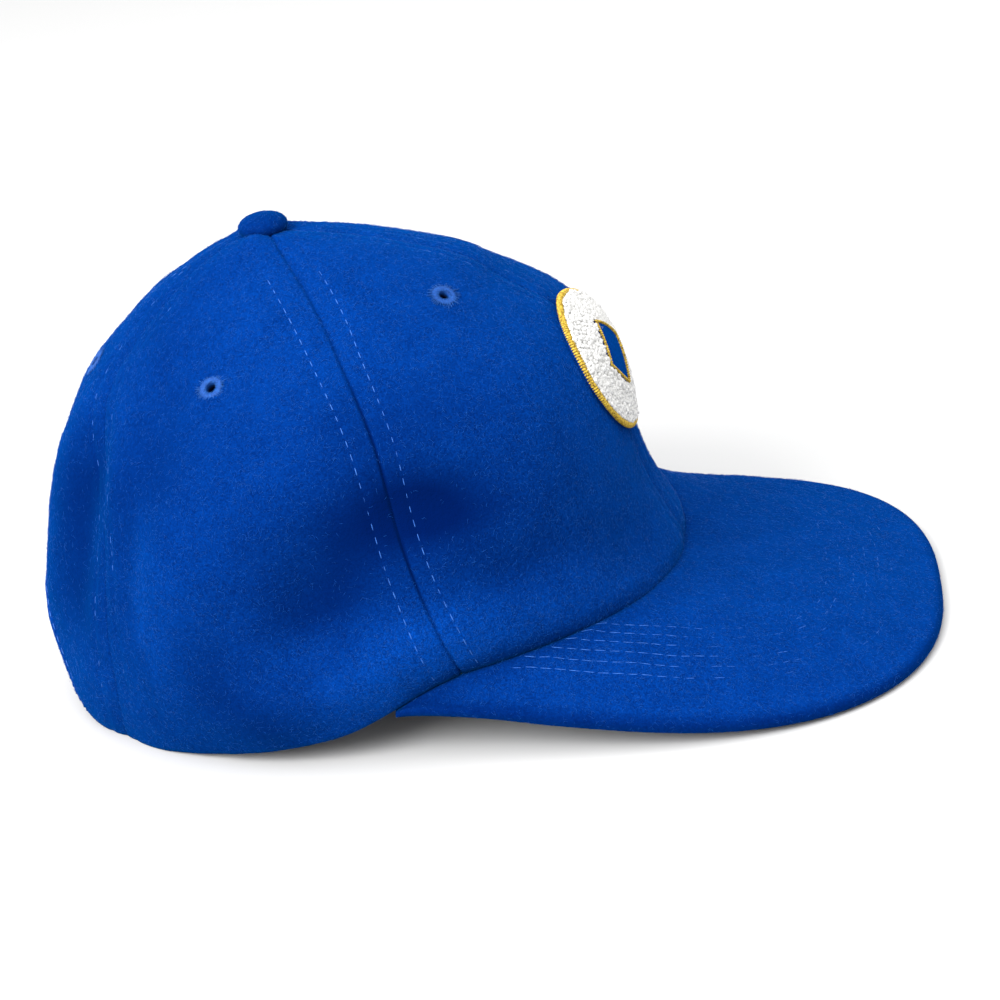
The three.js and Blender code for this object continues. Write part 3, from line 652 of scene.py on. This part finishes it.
def peak_loops(share):
    """The closed line round the peak's cross-section, for each share of the way round the front."""
    lifted = np.array([0, 0, 1.0])
    thick = PEAK_THICK + (PEAK_CORNER_THICK - PEAK_THICK) * np.abs(share)[:, None] ** PEAK_THINNING
    rim = crown_form(share * PEAK_END, 0) - PEAK_DROP * lifted
    edge = peak_edge(share) + lifted * thick / 2
    outward = unit(crown_normal(share * PEAK_END, np.zeros_like(share)) * (1, 1, 0))
    run = (edge - rim) * (1, 1, 0)
    reach = np.linalg.norm(run, axis=1, keepdims=True)
    open_ = np.clip((reach - PEAK_LEVEL) / PEAK_TILT_OVER, 0, 1)
    open_ = open_ * open_ * (3 - 2 * open_)
    ahead = unit(outward + (unit(run) - outward) * open_)
    pitch = open_ * np.arctan2(rim[:, 2:] - edge[:, 2:] - thick / 2, np.maximum(reach, 1))
    down = ahead * np.cos(pitch) - lifted * np.sin(pitch)
    normal = ahead * np.sin(pitch) + lifted * np.cos(pitch)
    centre = edge - ahead * thick / 2
    top_end, low_end = centre + normal * thick / 2, centre - normal * thick / 2
    tuck = rim - outward * PEAK_TUCK - lifted * PEAK_TUCK_DROP
    sag = lifted * bell((share - PEAK_HOLLOW["share"]) / PEAK_HOLLOW["spread"])[:, None]
    sag = sag * PEAK_HOLLOW["depth"] * 27 / 4  # t (1 - t)^2 is 4/27 at its most

    def cover(start, end, t):
        return start + (end - start) * t - sag * t * (1 - t) ** 2

    loop = [tuck, rim - outward * PEAK_LIP]
    loop += [cover(rim, top_end, t) for t in np.linspace(0, 1, PEAK_STRIPS + 1)]
    for turn in np.linspace(np.pi / 2, -np.pi / 2, PEAK_EDGE_STEPS + 1)[1:-1]:
        near = bell((turn - PEAK_EDGE_GROOVE["turn"]) / PEAK_EDGE_GROOVE["spread"])
        groove = 1 - PEAK_EDGE_GROOVE["depth"] * near
        loop.append(centre + (down * np.cos(turn) + normal * np.sin(turn)) * thick / 2 * groove)
    loop += [cover(rim - normal * thick, low_end, t) for t in np.linspace(1, 0, PEAK_STRIPS // 3)]
    loop += [tuck - lifted * thick, tuck]
    return np.stack(loop, axis=1)


def row_draw(share):
    """How far the stitch rows are drawn together, from 1 down to 0 at the peak's corners."""
    reach = np.linalg.norm((peak_edge(share) - crown_form(share * PEAK_END, 0))[:, :2], axis=1)
    return reach / (reach + PEAK_ROWS_NARROW)


share = np.linspace(-1, 1, PEAK_COLUMNS + 1)
loops = peak_loops(share)
outline = peak_edge(np.linspace(-1, 1, 900))[:, :2]
upper = PEAK_STRIPS + 3  # the tuck, the lip and the top, in each loop
top = loops[:, 2:upper]
from_edge = np.min(np.linalg.norm(top[:, :, None, :2] - outline[None, None], axis=-1), axis=2)
drawn = row_draw(share)[:, None]
quilt = sum(bell((from_edge - row * drawn) / STITCH_DIP_WIDTH) for row in PEAK_ROWS)
waves = wrinkles(PEAK_WAVES, top) * np.clip(from_edge / PEAK_WAVES_FADE, 0, 1)
top[..., 2] += waves - PEAK_QUILT * quilt
bm = laid_grid(loops)
# painted shade along the peak's edge band and, at the sides, painted shadow beside the crown's rim
pressed = np.full(loops.shape[:2], PEAK_SHADE["edge"])
pressed[:, :upper] *= bell(np.pad(from_edge, ((0, 0), (2, 0)), mode="edge") / PEAK_SHADE["edge_soft"])
pressed = np.maximum(pressed, PEAK_SHADE["flat"])
from_rim = np.linalg.norm(loops - loops[:, 2:3], axis=2)[:, :upper]
at_side = np.clip((np.abs(share) - 0.25) / 0.4, 0, 1)[:, None]
pressed[:, :upper] += PEAK_SHADE["rim"] * at_side * bell(from_rim / PEAK_SHADE["rim_soft"])
mark_painted_shade(bm, pressed)
close_up(bm)
peak_tree = BVHTree.FromBMesh(bm)
peak = finish_piece(bm, "felt_peak", felt_blue, ["peak"])

corners, faces = [], []
for piece in panel_pieces:
    faces += [[len(corners) + i for i in p.vertices] for p in piece.data.polygons]
    corners += [v.co for v in piece.data.vertices]
crown_tree = BVHTree.FromPolygons(corners, faces)
share = np.linspace(-1, 1, 1600)
outline = peak_edge(share)
inward = unit(np.cross(np.gradient(outline, axis=0), (0, 0, 1)) * (1, 1, 0))
inward *= np.sign(np.sum(inward[800] * (-1, 0, 0)))
rows = []
for distance in PEAK_ROWS:
    hits = []
    for p in in_cap(outline + inward * (distance * row_draw(share))[:, None]):
        start = Vector((p[0], p[1], 0.2))
        under_crown = crown_tree.ray_cast(start, Vector((0, 0, -1)))[0] is not None
        place, normal, _, _ = peak_tree.ray_cast(start, Vector((0, 0, -1)))
        if place is not None and not under_crown:
            hits.append((*place, *normal))
    hits = np.array(hits)
    rows.append(stitch_row(hits[:, :3] / MM, hits[:, 3:], PEAK_STITCH["pitch"]))
at, along, up = joined(rows)
buried = 0.1 * np.clip((at[:, :1] - 45) / 30, 0, 1)  # the nap closes over the rows at the front
buried = buried + np.random.default_rng(5).uniform(-0.02, 0.06, buried.shape)
at = (at - up * buried) * MM
sew("peak_stitches", at, along, up, PEAK_STITCH["length"], PEAK_STITCH["thick"])

# Arch binding. The half-moon opening at the back has its felt turned in and stitched down, which
# leaves a plump round edge a little thicker than the panels.
HEM_WIDTH = 2.7
HEM_HALF_THICK = 1.5
HEM_OVERLAP = 0.6  # how far it stands in over the opening's edge
HEM_ROUND = 16
HEM_STEPS = 90


def on_crown(y, z):
    """The angle and rise of the points of the crown's back at that side and height."""
    rise = z / 150
    angle = np.full_like(rise, 180.0)
    for _ in range(40):
        c = np.cos(np.radians(angle))
        angle = 180 + np.degrees(np.arcsin(y / (half_width(rise) * (1 + SQUARENESS * c * c))))
        rise = np.maximum(rise + (z - crown_form(angle, rise)[..., 2]) / 160, 0)
    return angle, rise


turn = np.radians(np.linspace(2.5, 177.5, HEM_STEPS + 1))
edge_y, edge_z = ARCH_HALF_WIDTH * np.cos(turn), ARCH_HEIGHT * np.sin(turn)
edge = felt_point(*on_crown(edge_y, edge_z))
normal = crown_normal(*on_crown(edge_y, edge_z))
away = np.stack([0 * turn, np.cos(turn) / ARCH_HALF_WIDTH, np.sin(turn) / ARCH_HEIGHT], axis=1)
away = unit(away - normal * np.sum(away * normal, axis=1, keepdims=True))
around = np.linspace(0, 2 * np.pi, HEM_ROUND + 1)[None, :, None]
ring = (edge + away * (HEM_WIDTH - HEM_OVERLAP) - normal * (FELT / 2))[:, None]
ring = ring - away[:, None] * HEM_WIDTH * np.cos(around)
ring = ring + normal[:, None] * HEM_HALF_THICK * np.sin(around)
bm = laid_grid(ring)
close_up(bm)
hem = finish_piece(bm, "arch_hem", felt_blue)

at, along, up = stitch_row(edge + away * (2 * HEM_WIDTH + 0.4), normal, STITCH_PITCH)
sew("arch_stitches", in_cap(at + up * 0.1), along, up)

# Sweatband. A folded band of plain woven cotton inside the rim, sewn to it along its lower edge,
# which stands free of the felt above and ends where the strap's tabs are sewn in.
BAND_END = 140.5
BAND_RISE = 0.012
BAND_TOP_RISE = 0.22
BAND_DEPTH = 3.35
BAND_THICK = 1.2
BAND_COLUMNS = 240
BAND_ROWS = 14
BAND_TUCK = dict(slack=0.6, most=6)  # it gives way to the felt's deeper dents
BAND_WAVE = [dict(height=0.25, size=13, seed=21)]
BAND_MAP = dict(girth=570, height=32)
BAND_THREAD = 0.55

# Plain weave: two sets of fine ribs that cross, from the piece's own map in millimetres.
band_cloth, tree, shader, place = new_finish("sweatband_cloth", 0.85, 0.1)
flat = add_node(tree, "ShaderNodeUVMap", uv_map="weave").outputs[0]
split = add_node(tree, "ShaderNodeSeparateXYZ", {0: flat})
ribs = [maths(tree, "MULTIPLY", split.outputs[i], 2 * np.pi / BAND_THREAD) for i in (0, 1)]
woven = maths(tree, "MULTIPLY", *(maths(tree, "SINE", rib) for rib in ribs))
clouds = remap(tree, noise(tree, place, 3, 3.0, 0.0), 0, 1, 0, 0.4)
tone = maths(tree, "ADD", remap(tree, woven, -1, 1, 0, 0.6), clouds)
paint(tree, shader, tone, (0.001, 0.013, 0.1, 1), (0.003, 0.03, 0.2, 1))
add_bump(tree, shader, woven, 0.4, 0.1)
angle = np.linspace(-BAND_END, BAND_END, BAND_COLUMNS + 1)[:, None]
share = np.linspace(0, 1, BAND_ROWS + 1)[None, :]
rise = BAND_RISE + (BAND_TOP_RISE - BAND_RISE) * share
form, normal = crown_form(angle, rise), crown_normal(angle, rise)
dented = -np.sum((felt_point(angle, rise) - form) * normal, axis=-1)
depth = BAND_DEPTH + np.clip(dented - BAND_TUCK["slack"], 0, BAND_TUCK["most"])
depth = depth + wrinkles(BAND_WAVE, form) * share
bm = laid_grid(form - normal * depth[..., None])
weave = bm.loops.layers.uv.new("weave")
width = 2 * BAND_END / 360 * BAND_MAP["girth"]
for loop in (loop for f in bm.faces for loop in f.loops):
    line, column = divmod(loop.vert.index, BAND_COLUMNS + 1)
    loop[weave].uv = (column / BAND_COLUMNS * width, line / BAND_ROWS * BAND_MAP["height"])
face_outwards(bm)
band = finish_piece(bm, "sweatband_band", band_cloth, ["sweatband"])
thicken(band, BAND_THICK)

# Snap strap. Two tabs of moulded plastic, sewn in at the sides of the half-moon opening. The outer
# one laps over the inner one, whose seven studs are pressed through its holes.
STRAP_REACH = 38.0
STRAP_LAP = 22.0
STRAP_RISE = 0.012
STRAP_TOP_RISE = 0.15
STRAP_THICK = 1.3
STRAP_DEPTH = 3.2
STRAP_GAP = 0.06  # between the tabs where they lap
STRAP_EDGE = 0.35
STRAP_CUTS = 70
STRAP_ROUND = 5.0  # degrees over which the free ends are rounded
STUD_COUNT = 7
STUD_PITCH = 6.6
STUD_PROFILE = [  # radius and height
    (0.0, 1.15), (1.7, 1.15), (2.3, 0.75), (2.3, 0.35), (1.6, 0.15), (1.6, -1.0), (0.0, -1.0),
]
STUD_COLLAR = [(2.6, -0.3), (3.3, -0.3), (3.3, 0.15), (3.0, 0.35), (2.6, 0.15), (2.6, -0.3)]

# satin moulded plastic with a faint grain
strap_plastic = grained_finish(
    "strap_plastic", (0.0005, 0.013, 0.1, 1), (0.001, 0.02, 0.14, 1), 0.45, 0.2,
    dict(size=6, detail=3.0, seed=2.2, low=0, high=1),
    dict(size=0.35, detail=2.0, seed=0.5, strength=0.25, depth=0.05),
)


def lengthwise(bm):
    return [e for e in bm.edges if abs(e.verts[0].co.x - e.verts[1].co.x) > 0.5]


def strap_tab(name, start, free_end, over, nodes=()):
    """One tab: a bar bent to the rim, with a round free end that may lap over the other tab."""
    bm = bmesh.new()
    bmesh.ops.create_cube(bm, size=1)
    bmesh.ops.subdivide_edges(bm, edges=lengthwise(bm), cuts=STRAP_CUTS, use_grid_fill=True)
    co = np.array([v.co for v in bm.verts])
    angle = start + (free_end - start) * (co[:, 0] + 0.5)
    rounding = np.clip(1 - (free_end - angle) * np.sign(free_end - start) / STRAP_ROUND, 0, 1)
    tall = np.sqrt(np.maximum(1 - rounding**2, 0.02))
    rise = (STRAP_RISE + STRAP_TOP_RISE) / 2 + (STRAP_TOP_RISE - STRAP_RISE) * co[:, 1] * tall
    lap = over * np.clip((angle - (180 - STRAP_LAP - 7)) / 6, 0, 1)
    depth = STRAP_DEPTH - (STRAP_THICK + STRAP_GAP) * lap * lap * (3 - 2 * lap)
    depth = depth + STRAP_THICK * (0.5 - co[:, 2])
    placed = in_cap(crown_form(angle, rise) - crown_normal(angle, rise) * depth[:, None])
    for v, p in zip(bm.verts, placed):
        v.co = p
    bmesh.ops.recalc_face_normals(bm, faces=bm.faces)
    tab = finish_piece(bm, name, strap_plastic, nodes)
    edge = tab.modifiers.new("edge", "BEVEL")
    edge.width = STRAP_EDGE * MM
    edge.segments = 3
    edge.limit_method = "ANGLE"
    edge.angle_limit = np.radians(50)


strap_tab("strap_outer", 180 - STRAP_REACH, 180 + STRAP_LAP, 1, ["snap_strap"])
strap_tab("strap_inner", 180 + STRAP_REACH, 180 - STRAP_LAP + 3, 0)


def turned(profile, steps):
    """A profile of radius and height turned round Z, its faces always in the same order."""
    bm = bmesh.new()
    points = [bm.verts.new((r, 0, z)) for r, z in profile]
    edges = [bm.edges.new(pair) for pair in zip(points, points[1:])]
    whole = dict(axis=(0, 0, 1), cent=(0, 0, 0), steps=steps, angle=2 * np.pi, use_merge=True)
    bmesh.ops.spin(bm, geom=points + edges, **whole)
    bmesh.ops.remove_doubles(bm, verts=bm.verts, dist=1e-5)
    bmesh.ops.recalc_face_normals(bm, faces=bm.faces)
    order = Vector((1, 91.7, 8317.1))
    bm.faces.sort(key=lambda f: f.calc_center_median().dot(order))
    return bm


angle = 180 + (np.arange(STUD_COUNT) - (STUD_COUNT - 1) / 2) * STUD_PITCH
rise = np.full(STUD_COUNT, (STRAP_RISE + STRAP_TOP_RISE) / 2)
up = crown_normal(angle, rise)
at = in_cap(crown_form(angle, rise) - up * (STRAP_DEPTH - STRAP_THICK - STRAP_GAP))
along = np.tile([0, 1.0, 0], (STUD_COUNT, 1))
size = np.full((STUD_COUNT, 3), MM)
for name, profile in (("strap_studs", STUD_PROFILE), ("strap_collars", STUD_COLLAR)):
    pattern = kept_mesh(turned(profile, 24), name + "_pattern")
    finish_mesh(copies(pattern, name, at, along, up, size), strap_plastic)

# Eyelets. Each ventilation hole is whipped round with lighter blue embroidery thread, which lies in
# close radial stitches over a raised ring and frays a little at its outer edge.
EYELET_RADIUS = 4.9
EYELET_BORE = 1.5
EYELET_THREADS = 48
EYELET_STRAND = 0.22
EYELET_BOW = 0.12
EYELET_UNEVEN = 0.03  # in the turn from one stitch to the next
EYELET_FRAY = (-0.3, 0.5)  # the mean and spread of how far the stitches' outer ends miss the radius
EYELET_RING = [  # radius and height
    (1.5, -2.4), (2.2, -2.4), (2.3, -0.4), (3.4, -0.3), (3.5, 0.0), (3.0, 0.2), (2.3, 0.2), (1.8, 0.0),
    (1.5, -0.4), (1.5, -2.4),
]
eyelet_thread = thread_finish("eyelet_thread", (0.0016, 0.033, 0.168, 1), (0.0074, 0.067, 0.265, 1))
# the ring under the radial stitches is the same thread in a darker copy of its colour, as painted shade
# between the strands
eyelet_shade = thread_finish("eyelet_ring_painted_shade", (0.001, 0.028, 0.15, 1), (0.003, 0.046, 0.22, 1))
rng = np.random.default_rng(7)
rows = []
ring_pattern = kept_mesh(turned(EYELET_RING, 36), "eyelet_ring")
for side, sign in SIDES:
    for panel in PANELS:
        angle, rise = sign * panel["eyelet"][0], panel["eyelet"][1]
        place = felt_point(angle, rise)
        around = felt_point(angle + 2, rise) - felt_point(angle - 2, rise)
        normal = unit(np.cross(felt_point(angle, rise + 0.03) - felt_point(angle, rise - 0.03), around))
        level = unit(np.cross(normal, (0, 0, 1.0)))
        steep = np.cross(level, normal)
        name = f"eyelet_{panel['name']}_{side}"
        laid = (in_cap([place]), level[None], normal[None], np.full((1, 3), MM))
        finish_mesh(copies(ring_pattern, f"ring_{name}", *laid), eyelet_shade, [name])
        for turn in np.arange(EYELET_THREADS) / EYELET_THREADS * 2 * np.pi:
            turn += rng.normal(0, EYELET_UNEVEN)
            out = level * np.cos(turn) + steep * np.sin(turn)
            far = EYELET_RADIUS + rng.normal(*EYELET_FRAY)
            middle = place + out * (EYELET_BORE + far) / 2 + normal * 0.02
            size = [far - EYELET_BORE + 0.2, EYELET_STRAND, EYELET_STRAND]
            rows.append((middle, out - normal * 0.04, normal, size))
at, along, up, size = (np.array(part) for part in zip(*rows))
threads = copies(dash, "eyelet_threads", in_cap(at), along, up, size * MM, EYELET_BOW * MM)
finish_mesh(threads, eyelet_thread)

# Button. A pressed metal blank covered with the same felt, which closes the point where the six
# panels meet. It is a low dome with a rounded side, drawn in under its edge.
# how much darker the button's felt is painted all over
BUTTON_DARKNESS = 0.42
BUTTON_SUNK = 1.55
BUTTON_PROFILE = [  # radius and height
    (0.0, -0.6), (4.6, -0.5), (5.9, 0.6), (6.9, 1.6), (7.3, 2.6), (7.15, 3.6), (6.4, 4.6), (5.1, 5.5),
    (3.4, 6.1), (1.7, 6.4), (0.0, 6.5),
]
BUTTON_TUCKS = dict(depth=0.025, below=2.2)  # the felt's small folds under the edge
front, side, rear, left = (crown_form(angle, 0.97) for angle in (0, 90, 180, -90))
button_up = unit(np.cross(front - rear, side - left))
button_up *= np.sign(button_up[2])
bm = turned(BUTTON_PROFILE, 64)
for v in bm.verts:
    swing = np.arctan2(v.co.y, v.co.x)
    folds = 1 + np.sin(13 * swing + 1.1) * np.sin(5 * swing)
    v.co.xy *= 1 - BUTTON_TUCKS["depth"] * folds * max(0.0, 1 - v.co.z / BUTTON_TUCKS["below"])
mark_painted_shade(bm, np.full((1, len(bm.verts)), BUTTON_DARKNESS))
bmesh.ops.scale(bm, vec=(MM, MM, MM), verts=bm.verts)
turn = Vector((0, 0, 1)).rotation_difference(Vector(button_up)).to_matrix()
bmesh.ops.rotate(bm, verts=bm.verts, matrix=turn)
bmesh.ops.translate(bm, verts=bm.verts, vec=Vector(in_cap(crown_form(0, 1) - button_up * BUTTON_SUNK)))
button = finish_piece(bm, "felt_button", felt_blue, ["top_button"])

# Front patch. An oval felt backing with a gold satin-stitched border and a field of white pile, in
# small tufts of looped yarn set in rings that follow the border. A plain diamond in its middle shows
# the felt, edged with a narrow line of the same gold thread.
PATCH_RISE = 0.45
PATCH_OVAL = dict(half_wide=27.2, half_high=22.3, roundness=1.8)
PATCH_DIAMOND = dict(half_wide=12.0, half_high=10.5, roundness=1.15)
PATCH_BORDER = 1.9
DIAMOND_BORDER = 0.9
RISE_PER_MM = 1 / 141
SATIN_PITCH = 0.85
SATIN_THICK = 0.75
SATIN_BOW = 0.4
TUFT_PITCH = 1.05
TUFT_SIZES = (1.15, 1.75)
TUFT_OFF = 0.2  # how far the tufts stray from their ring
TUFT_GAP = 0.6  # from the diamond's outline to the nearest tufts
TUFT_LIFT = 1.6
TUFT_TILT = 0.3
PATCH_EDGE_DROP = 0.35


def patch_outline(outline, turn, share=1.0, inset=0.0):
    """Across and up on the flat patch, in millimetres."""
    c, s, power = np.cos(turn), np.sin(turn), outline["roundness"]
    reach = share * (np.abs(c) ** power + np.abs(s) ** power) ** (-1 / power)
    return (outline["half_wide"] - inset) * reach * c, (outline["half_high"] - inset) * reach * s


def on_patch(wide, high, lift):
    """A place on the crown's front, lifted off the felt, and the way that it faces."""
    rise = PATCH_RISE + high * RISE_PER_MM
    angle = np.degrees(wide / (half_width(rise) * (1 + SQUARENESS)))
    normal = crown_normal(angle, rise)
    lift = lift - spots(DENTS, "depth", angle, rise)
    return crown_form(angle, rise) + normal * lift[..., None], normal


def patch_disc(name, outline, inset, lift, thickness, finish, nodes=()):
    turn = np.linspace(0, 2 * np.pi, 97)[:, None]
    share = np.linspace(0, 1, 19)[None, :]
    wide, high = patch_outline(outline, turn, share, inset)
    points, _ = on_patch(wide, high, lift - PATCH_EDGE_DROP * (share > 0.99))
    bm = laid_grid(points)
    bmesh.ops.remove_doubles(bm, verts=bm.verts, dist=0.01 * MM)
    face_outwards(bm)
    disc = finish_piece(bm, name, finish, nodes)
    thicken(disc, thickness)
    return disc


gold_thread = thread_finish("gold_satin_thread", (0.15, 0.085, 0.004, 1), (0.54, 0.375, 0.045, 1), 0.45)
pile_yarn = grained_finish(
    "white_pile_yarn", (0.45, 0.445, 0.435, 1), (0.66, 0.66, 0.65, 1), 0.95, 0.1,
    dict(size=0.6, detail=3.0, seed=3.3, low=0.3, high=0.7),
    dict(size=0.3, detail=3.0, seed=8.8, strength=0.8, depth=0.2),
)


def satin_line(name, outline, width, low, high):
    """Close stitches laid across a line that runs just inside an outline."""
    turn = np.linspace(0, 2 * np.pi, 4000)
    run = run_along(on_patch(*patch_outline(outline, turn), low)[0])
    turn = np.interp(np.arange(0, run[-1], SATIN_PITCH), run, turn)
    outer, up = on_patch(*patch_outline(outline, turn), low)
    inner, _ = on_patch(*patch_outline(outline, turn, 1.0, width), high)
    reach = np.linalg.norm(outer - inner, axis=1)
    size = np.stack([reach, np.full_like(reach, SATIN_PITCH), np.full_like(reach, SATIN_THICK)], axis=1)
    satin = copies(dash, name, in_cap((outer + inner) / 2), outer - inner, up, size * MM, SATIN_BOW * MM)
    finish_mesh(satin, gold_thread)


backing = patch_disc("patch_backing", PATCH_OVAL, 0.5, 1.1, 1.0, felt_blue, ["emblem_edge"])
ground = patch_disc("pile_ground", PATCH_OVAL, 1.2, 1.6, 0.5, pile_yarn)
diamond = patch_disc("diamond_felt", PATCH_DIAMOND, 0.0, 2.0, 0.5, felt_blue)
satin_line("border_satin", PATCH_OVAL, PATCH_BORDER, 0.9, 1.7)
satin_line("diamond_satin", PATCH_DIAMOND, DIAMOND_BORDER, 2.0, 2.0)


# One tuft of looped yarn: a small ball whose strands stand out in lumps.
bm = bmesh.new()
bmesh.ops.create_icosphere(bm, subdivisions=2, radius=0.5)
for v in bm.verts:
    lump = np.sin(9 * v.co.x + 1) * np.sin(8 * v.co.y) + np.sin(10 * v.co.z + 5 * v.co.x)
    v.co *= 1 + 0.16 * lump
tuft = kept_mesh(bm, "tuft")

rng = np.random.default_rng(12)
inset = PATCH_BORDER + 0.4
wide, high = [], []
while inset < PATCH_OVAL["half_high"]:
    turn = np.linspace(0, 2 * np.pi, 1500)
    line = patch_outline(PATCH_OVAL, turn, 1.0, inset)
    run = run_along(np.transpose(line))
    stops = np.arange(0, run[-1], TUFT_PITCH)
    wide.append(np.interp(stops, run, line[0]))
    high.append(np.interp(stops, run, line[1]))
    inset += TUFT_PITCH
wide = np.concatenate(wide)
wide = wide + rng.normal(0, TUFT_OFF, len(wide))
high = np.concatenate(high) + rng.normal(0, TUFT_OFF, len(wide))
across = np.abs(wide) / (PATCH_DIAMOND["half_wide"] + TUFT_GAP)
upwards = np.abs(high) / (PATCH_DIAMOND["half_high"] + TUFT_GAP)
kept = across ** PATCH_DIAMOND["roundness"] + upwards ** PATCH_DIAMOND["roundness"] >= 1
wide, high = wide[kept], high[kept]
at, up = on_patch(wide, high, TUFT_LIFT + rng.uniform(-0.2, 0.3, len(wide)))
along = rng.normal(size=at.shape)
size = rng.uniform(*TUFT_SIZES, (len(at), 1)) * np.array([1.0, 1.15, 1.0]) * MM
up = up + rng.normal(0, TUFT_TILT, at.shape)
tufts = copies(tuft, "pile_loops", in_cap(at), np.cross(up, along), up, size)
pile = finish_mesh(tufts, pile_yarn, ["emblem_pile"])

# Loose fibres. Wool felt that has been brushed keeps a thin fuzz of curled fibres, lighter than the
# cloth under them, which catches the light and softens every edge.
FUZZ_PER_CM2 = 78.0
FUZZ_LENGTH = (0.6, 1.9)
FUZZ_THICK = 0.048
FUZZ_LOWEST = -0.7  # none grow where the face looks down more than this
FUZZ_LEAN = (-0.05, 0.3)
FUZZ_CURL = 0.3
FUZZ_BOW = 0.12
FUZZ_LIFT = 0.1
PILE_FUZZ_PER_CM2 = 60.0


bm = bmesh.new()
bmesh.ops.create_cone(bm, cap_ends=True, segments=3, radius1=0.5, radius2=0.5, depth=1.0)
bmesh.ops.rotate(bm, verts=bm.verts, matrix=Matrix.Rotation(np.pi / 2, 3, "Y"))
bmesh.ops.subdivide_edges(bm, edges=lengthwise(bm), cuts=1)
fibre = kept_mesh(bm, "fibre")


def fuzz(piece, name, finish, seed, per_cm2=FUZZ_PER_CM2):
    """Curled fibres strewn over a piece's outer face, fewer where painted shade is laid on it."""
    rng = np.random.default_rng(seed)
    mesh = piece.data
    mesh.calc_loop_triangles()
    co = np.array([v.co for v in mesh.vertices])
    triangles = np.array([t.vertices for t in mesh.loop_triangles])
    corners = co[triangles]
    cross = np.cross(corners[:, 1] - corners[:, 0], corners[:, 2] - corners[:, 0])
    area = np.linalg.norm(cross, axis=1) / 2
    area[cross[:, 2] < FUZZ_LOWEST * 2 * area] = 0
    if "pressed" in mesh.attributes:
        painted_dark = np.array([v.value for v in mesh.attributes["pressed"].data])
        area = area * np.clip(1.1 - 1.4 * painted_dark[triangles].mean(axis=1), 0.04, 1.3)
    count = int(area.sum() * 1e4 * per_cm2)
    picked = rng.choice(len(area), count, p=area / area.sum())
    a, b = rng.random((2, count, 1))
    a, b = np.where(a + b > 1, 1 - a, a), np.where(a + b > 1, 1 - b, b)
    tri = corners[picked]
    at = tri[:, 0] + a * (tri[:, 1] - tri[:, 0]) + b * (tri[:, 2] - tri[:, 0])
    up = unit(cross[picked])
    lean = unit(np.cross(rng.normal(size=at.shape), up)) + up * rng.uniform(*FUZZ_LEAN, (count, 1))
    length = rng.uniform(*FUZZ_LENGTH, count) * MM
    thick = np.full(count, FUZZ_THICK * MM)
    curl = rng.normal(0, FUZZ_CURL, count) * length
    bow = rng.uniform(0.0, FUZZ_BOW, count) * length
    size = np.stack([length, thick, thick], axis=1)
    fibres = copies(fibre, name, at + up * FUZZ_LIFT * MM, lean, up, size, bow, curl)
    finish_mesh(fibres, finish)


fuzz_wool = thread_finish("loose_fibre", (0.0015, 0.038, 0.22, 1), (0.006, 0.09, 0.39, 1))
for seed, piece in enumerate([*panel_pieces, peak, hem, button]):
    fuzz(piece, f"fuzz_{piece.name}", fuzz_wool, 40 + seed)
fuzz(pile, "fuzz_pile", pile_yarn, 60, PILE_FUZZ_PER_CM2)

# Floor, light and camera. A plain pale floor under large soft studio lights. The camera stands on
# the wearer's right, a little to the front, looking down at the cap from the photograph's angle.
CAMERA = dict(distance=676.0, aim=(42.66, 0.0, 40.71), lens=80.52)
CAMERA_ANGLES = dict(elevation=24.61, turn=9.422, roll=-8.752)

bm = bmesh.new()
bmesh.ops.create_grid(bm, x_segments=1, y_segments=1, size=4)
floor = show("floor", kept_mesh(bm, "floor"))
floor_finish, tree, shader, _ = new_finish("pale_floor", 0.9)
feed(tree, shader, {"Base Color": (0.41, 0.41, 0.41, 1)})
floor.data.materials.append(floor_finish)


def softbox(name, place, aim, wide, power):
    light = bpy.data.lights.new(name, "AREA")
    light.shape = "DISK"
    light.size = wide
    light.energy = power
    lamp = show(name, light)
    lamp.location = place
    lamp.rotation_euler = (Vector(aim) - Vector(place)).to_track_quat("-Z", "Y").to_euler()


softbox("key_softbox", (-0.9, -1.0, 1.0), (0, 0, 0.05), 1.0, 44)
softbox("top_softbox", (0.0, -0.35, 1.7), (0, 0, 0.05), 2.2, 34)
scene = bpy.context.scene
world = bpy.data.worlds.new("studio")
scene.world = world
world.use_nodes = True
tree = world.node_tree
feed(tree, tree.nodes["Background"], {"Color": (1, 1, 1, 1), "Strength": 1.5})
scene.view_settings.view_transform = "Standard"

elevation, turn, roll = np.radians(list(CAMERA_ANGLES.values()))
level = np.cos(elevation)
back = np.array([np.sin(turn) * level, -np.cos(turn) * level, np.sin(elevation)])
right = np.array([np.cos(turn), np.sin(turn), 0])
over = np.cross(back, right)
seen_right = np.cos(roll) * right + np.sin(roll) * over
seen_up = -np.sin(roll) * right + np.cos(roll) * over
camera_data = bpy.data.cameras.new("camera")
camera_data.lens = CAMERA["lens"]
camera = show("camera", camera_data)
pose = Matrix(np.stack([seen_right, seen_up, back], axis=1).tolist()).to_4x4()
pose.translation = Vector(in_cap(np.array(CAMERA["aim"]) + back * CAMERA["distance"]))
camera.matrix_world = pose
scene.camera = camera
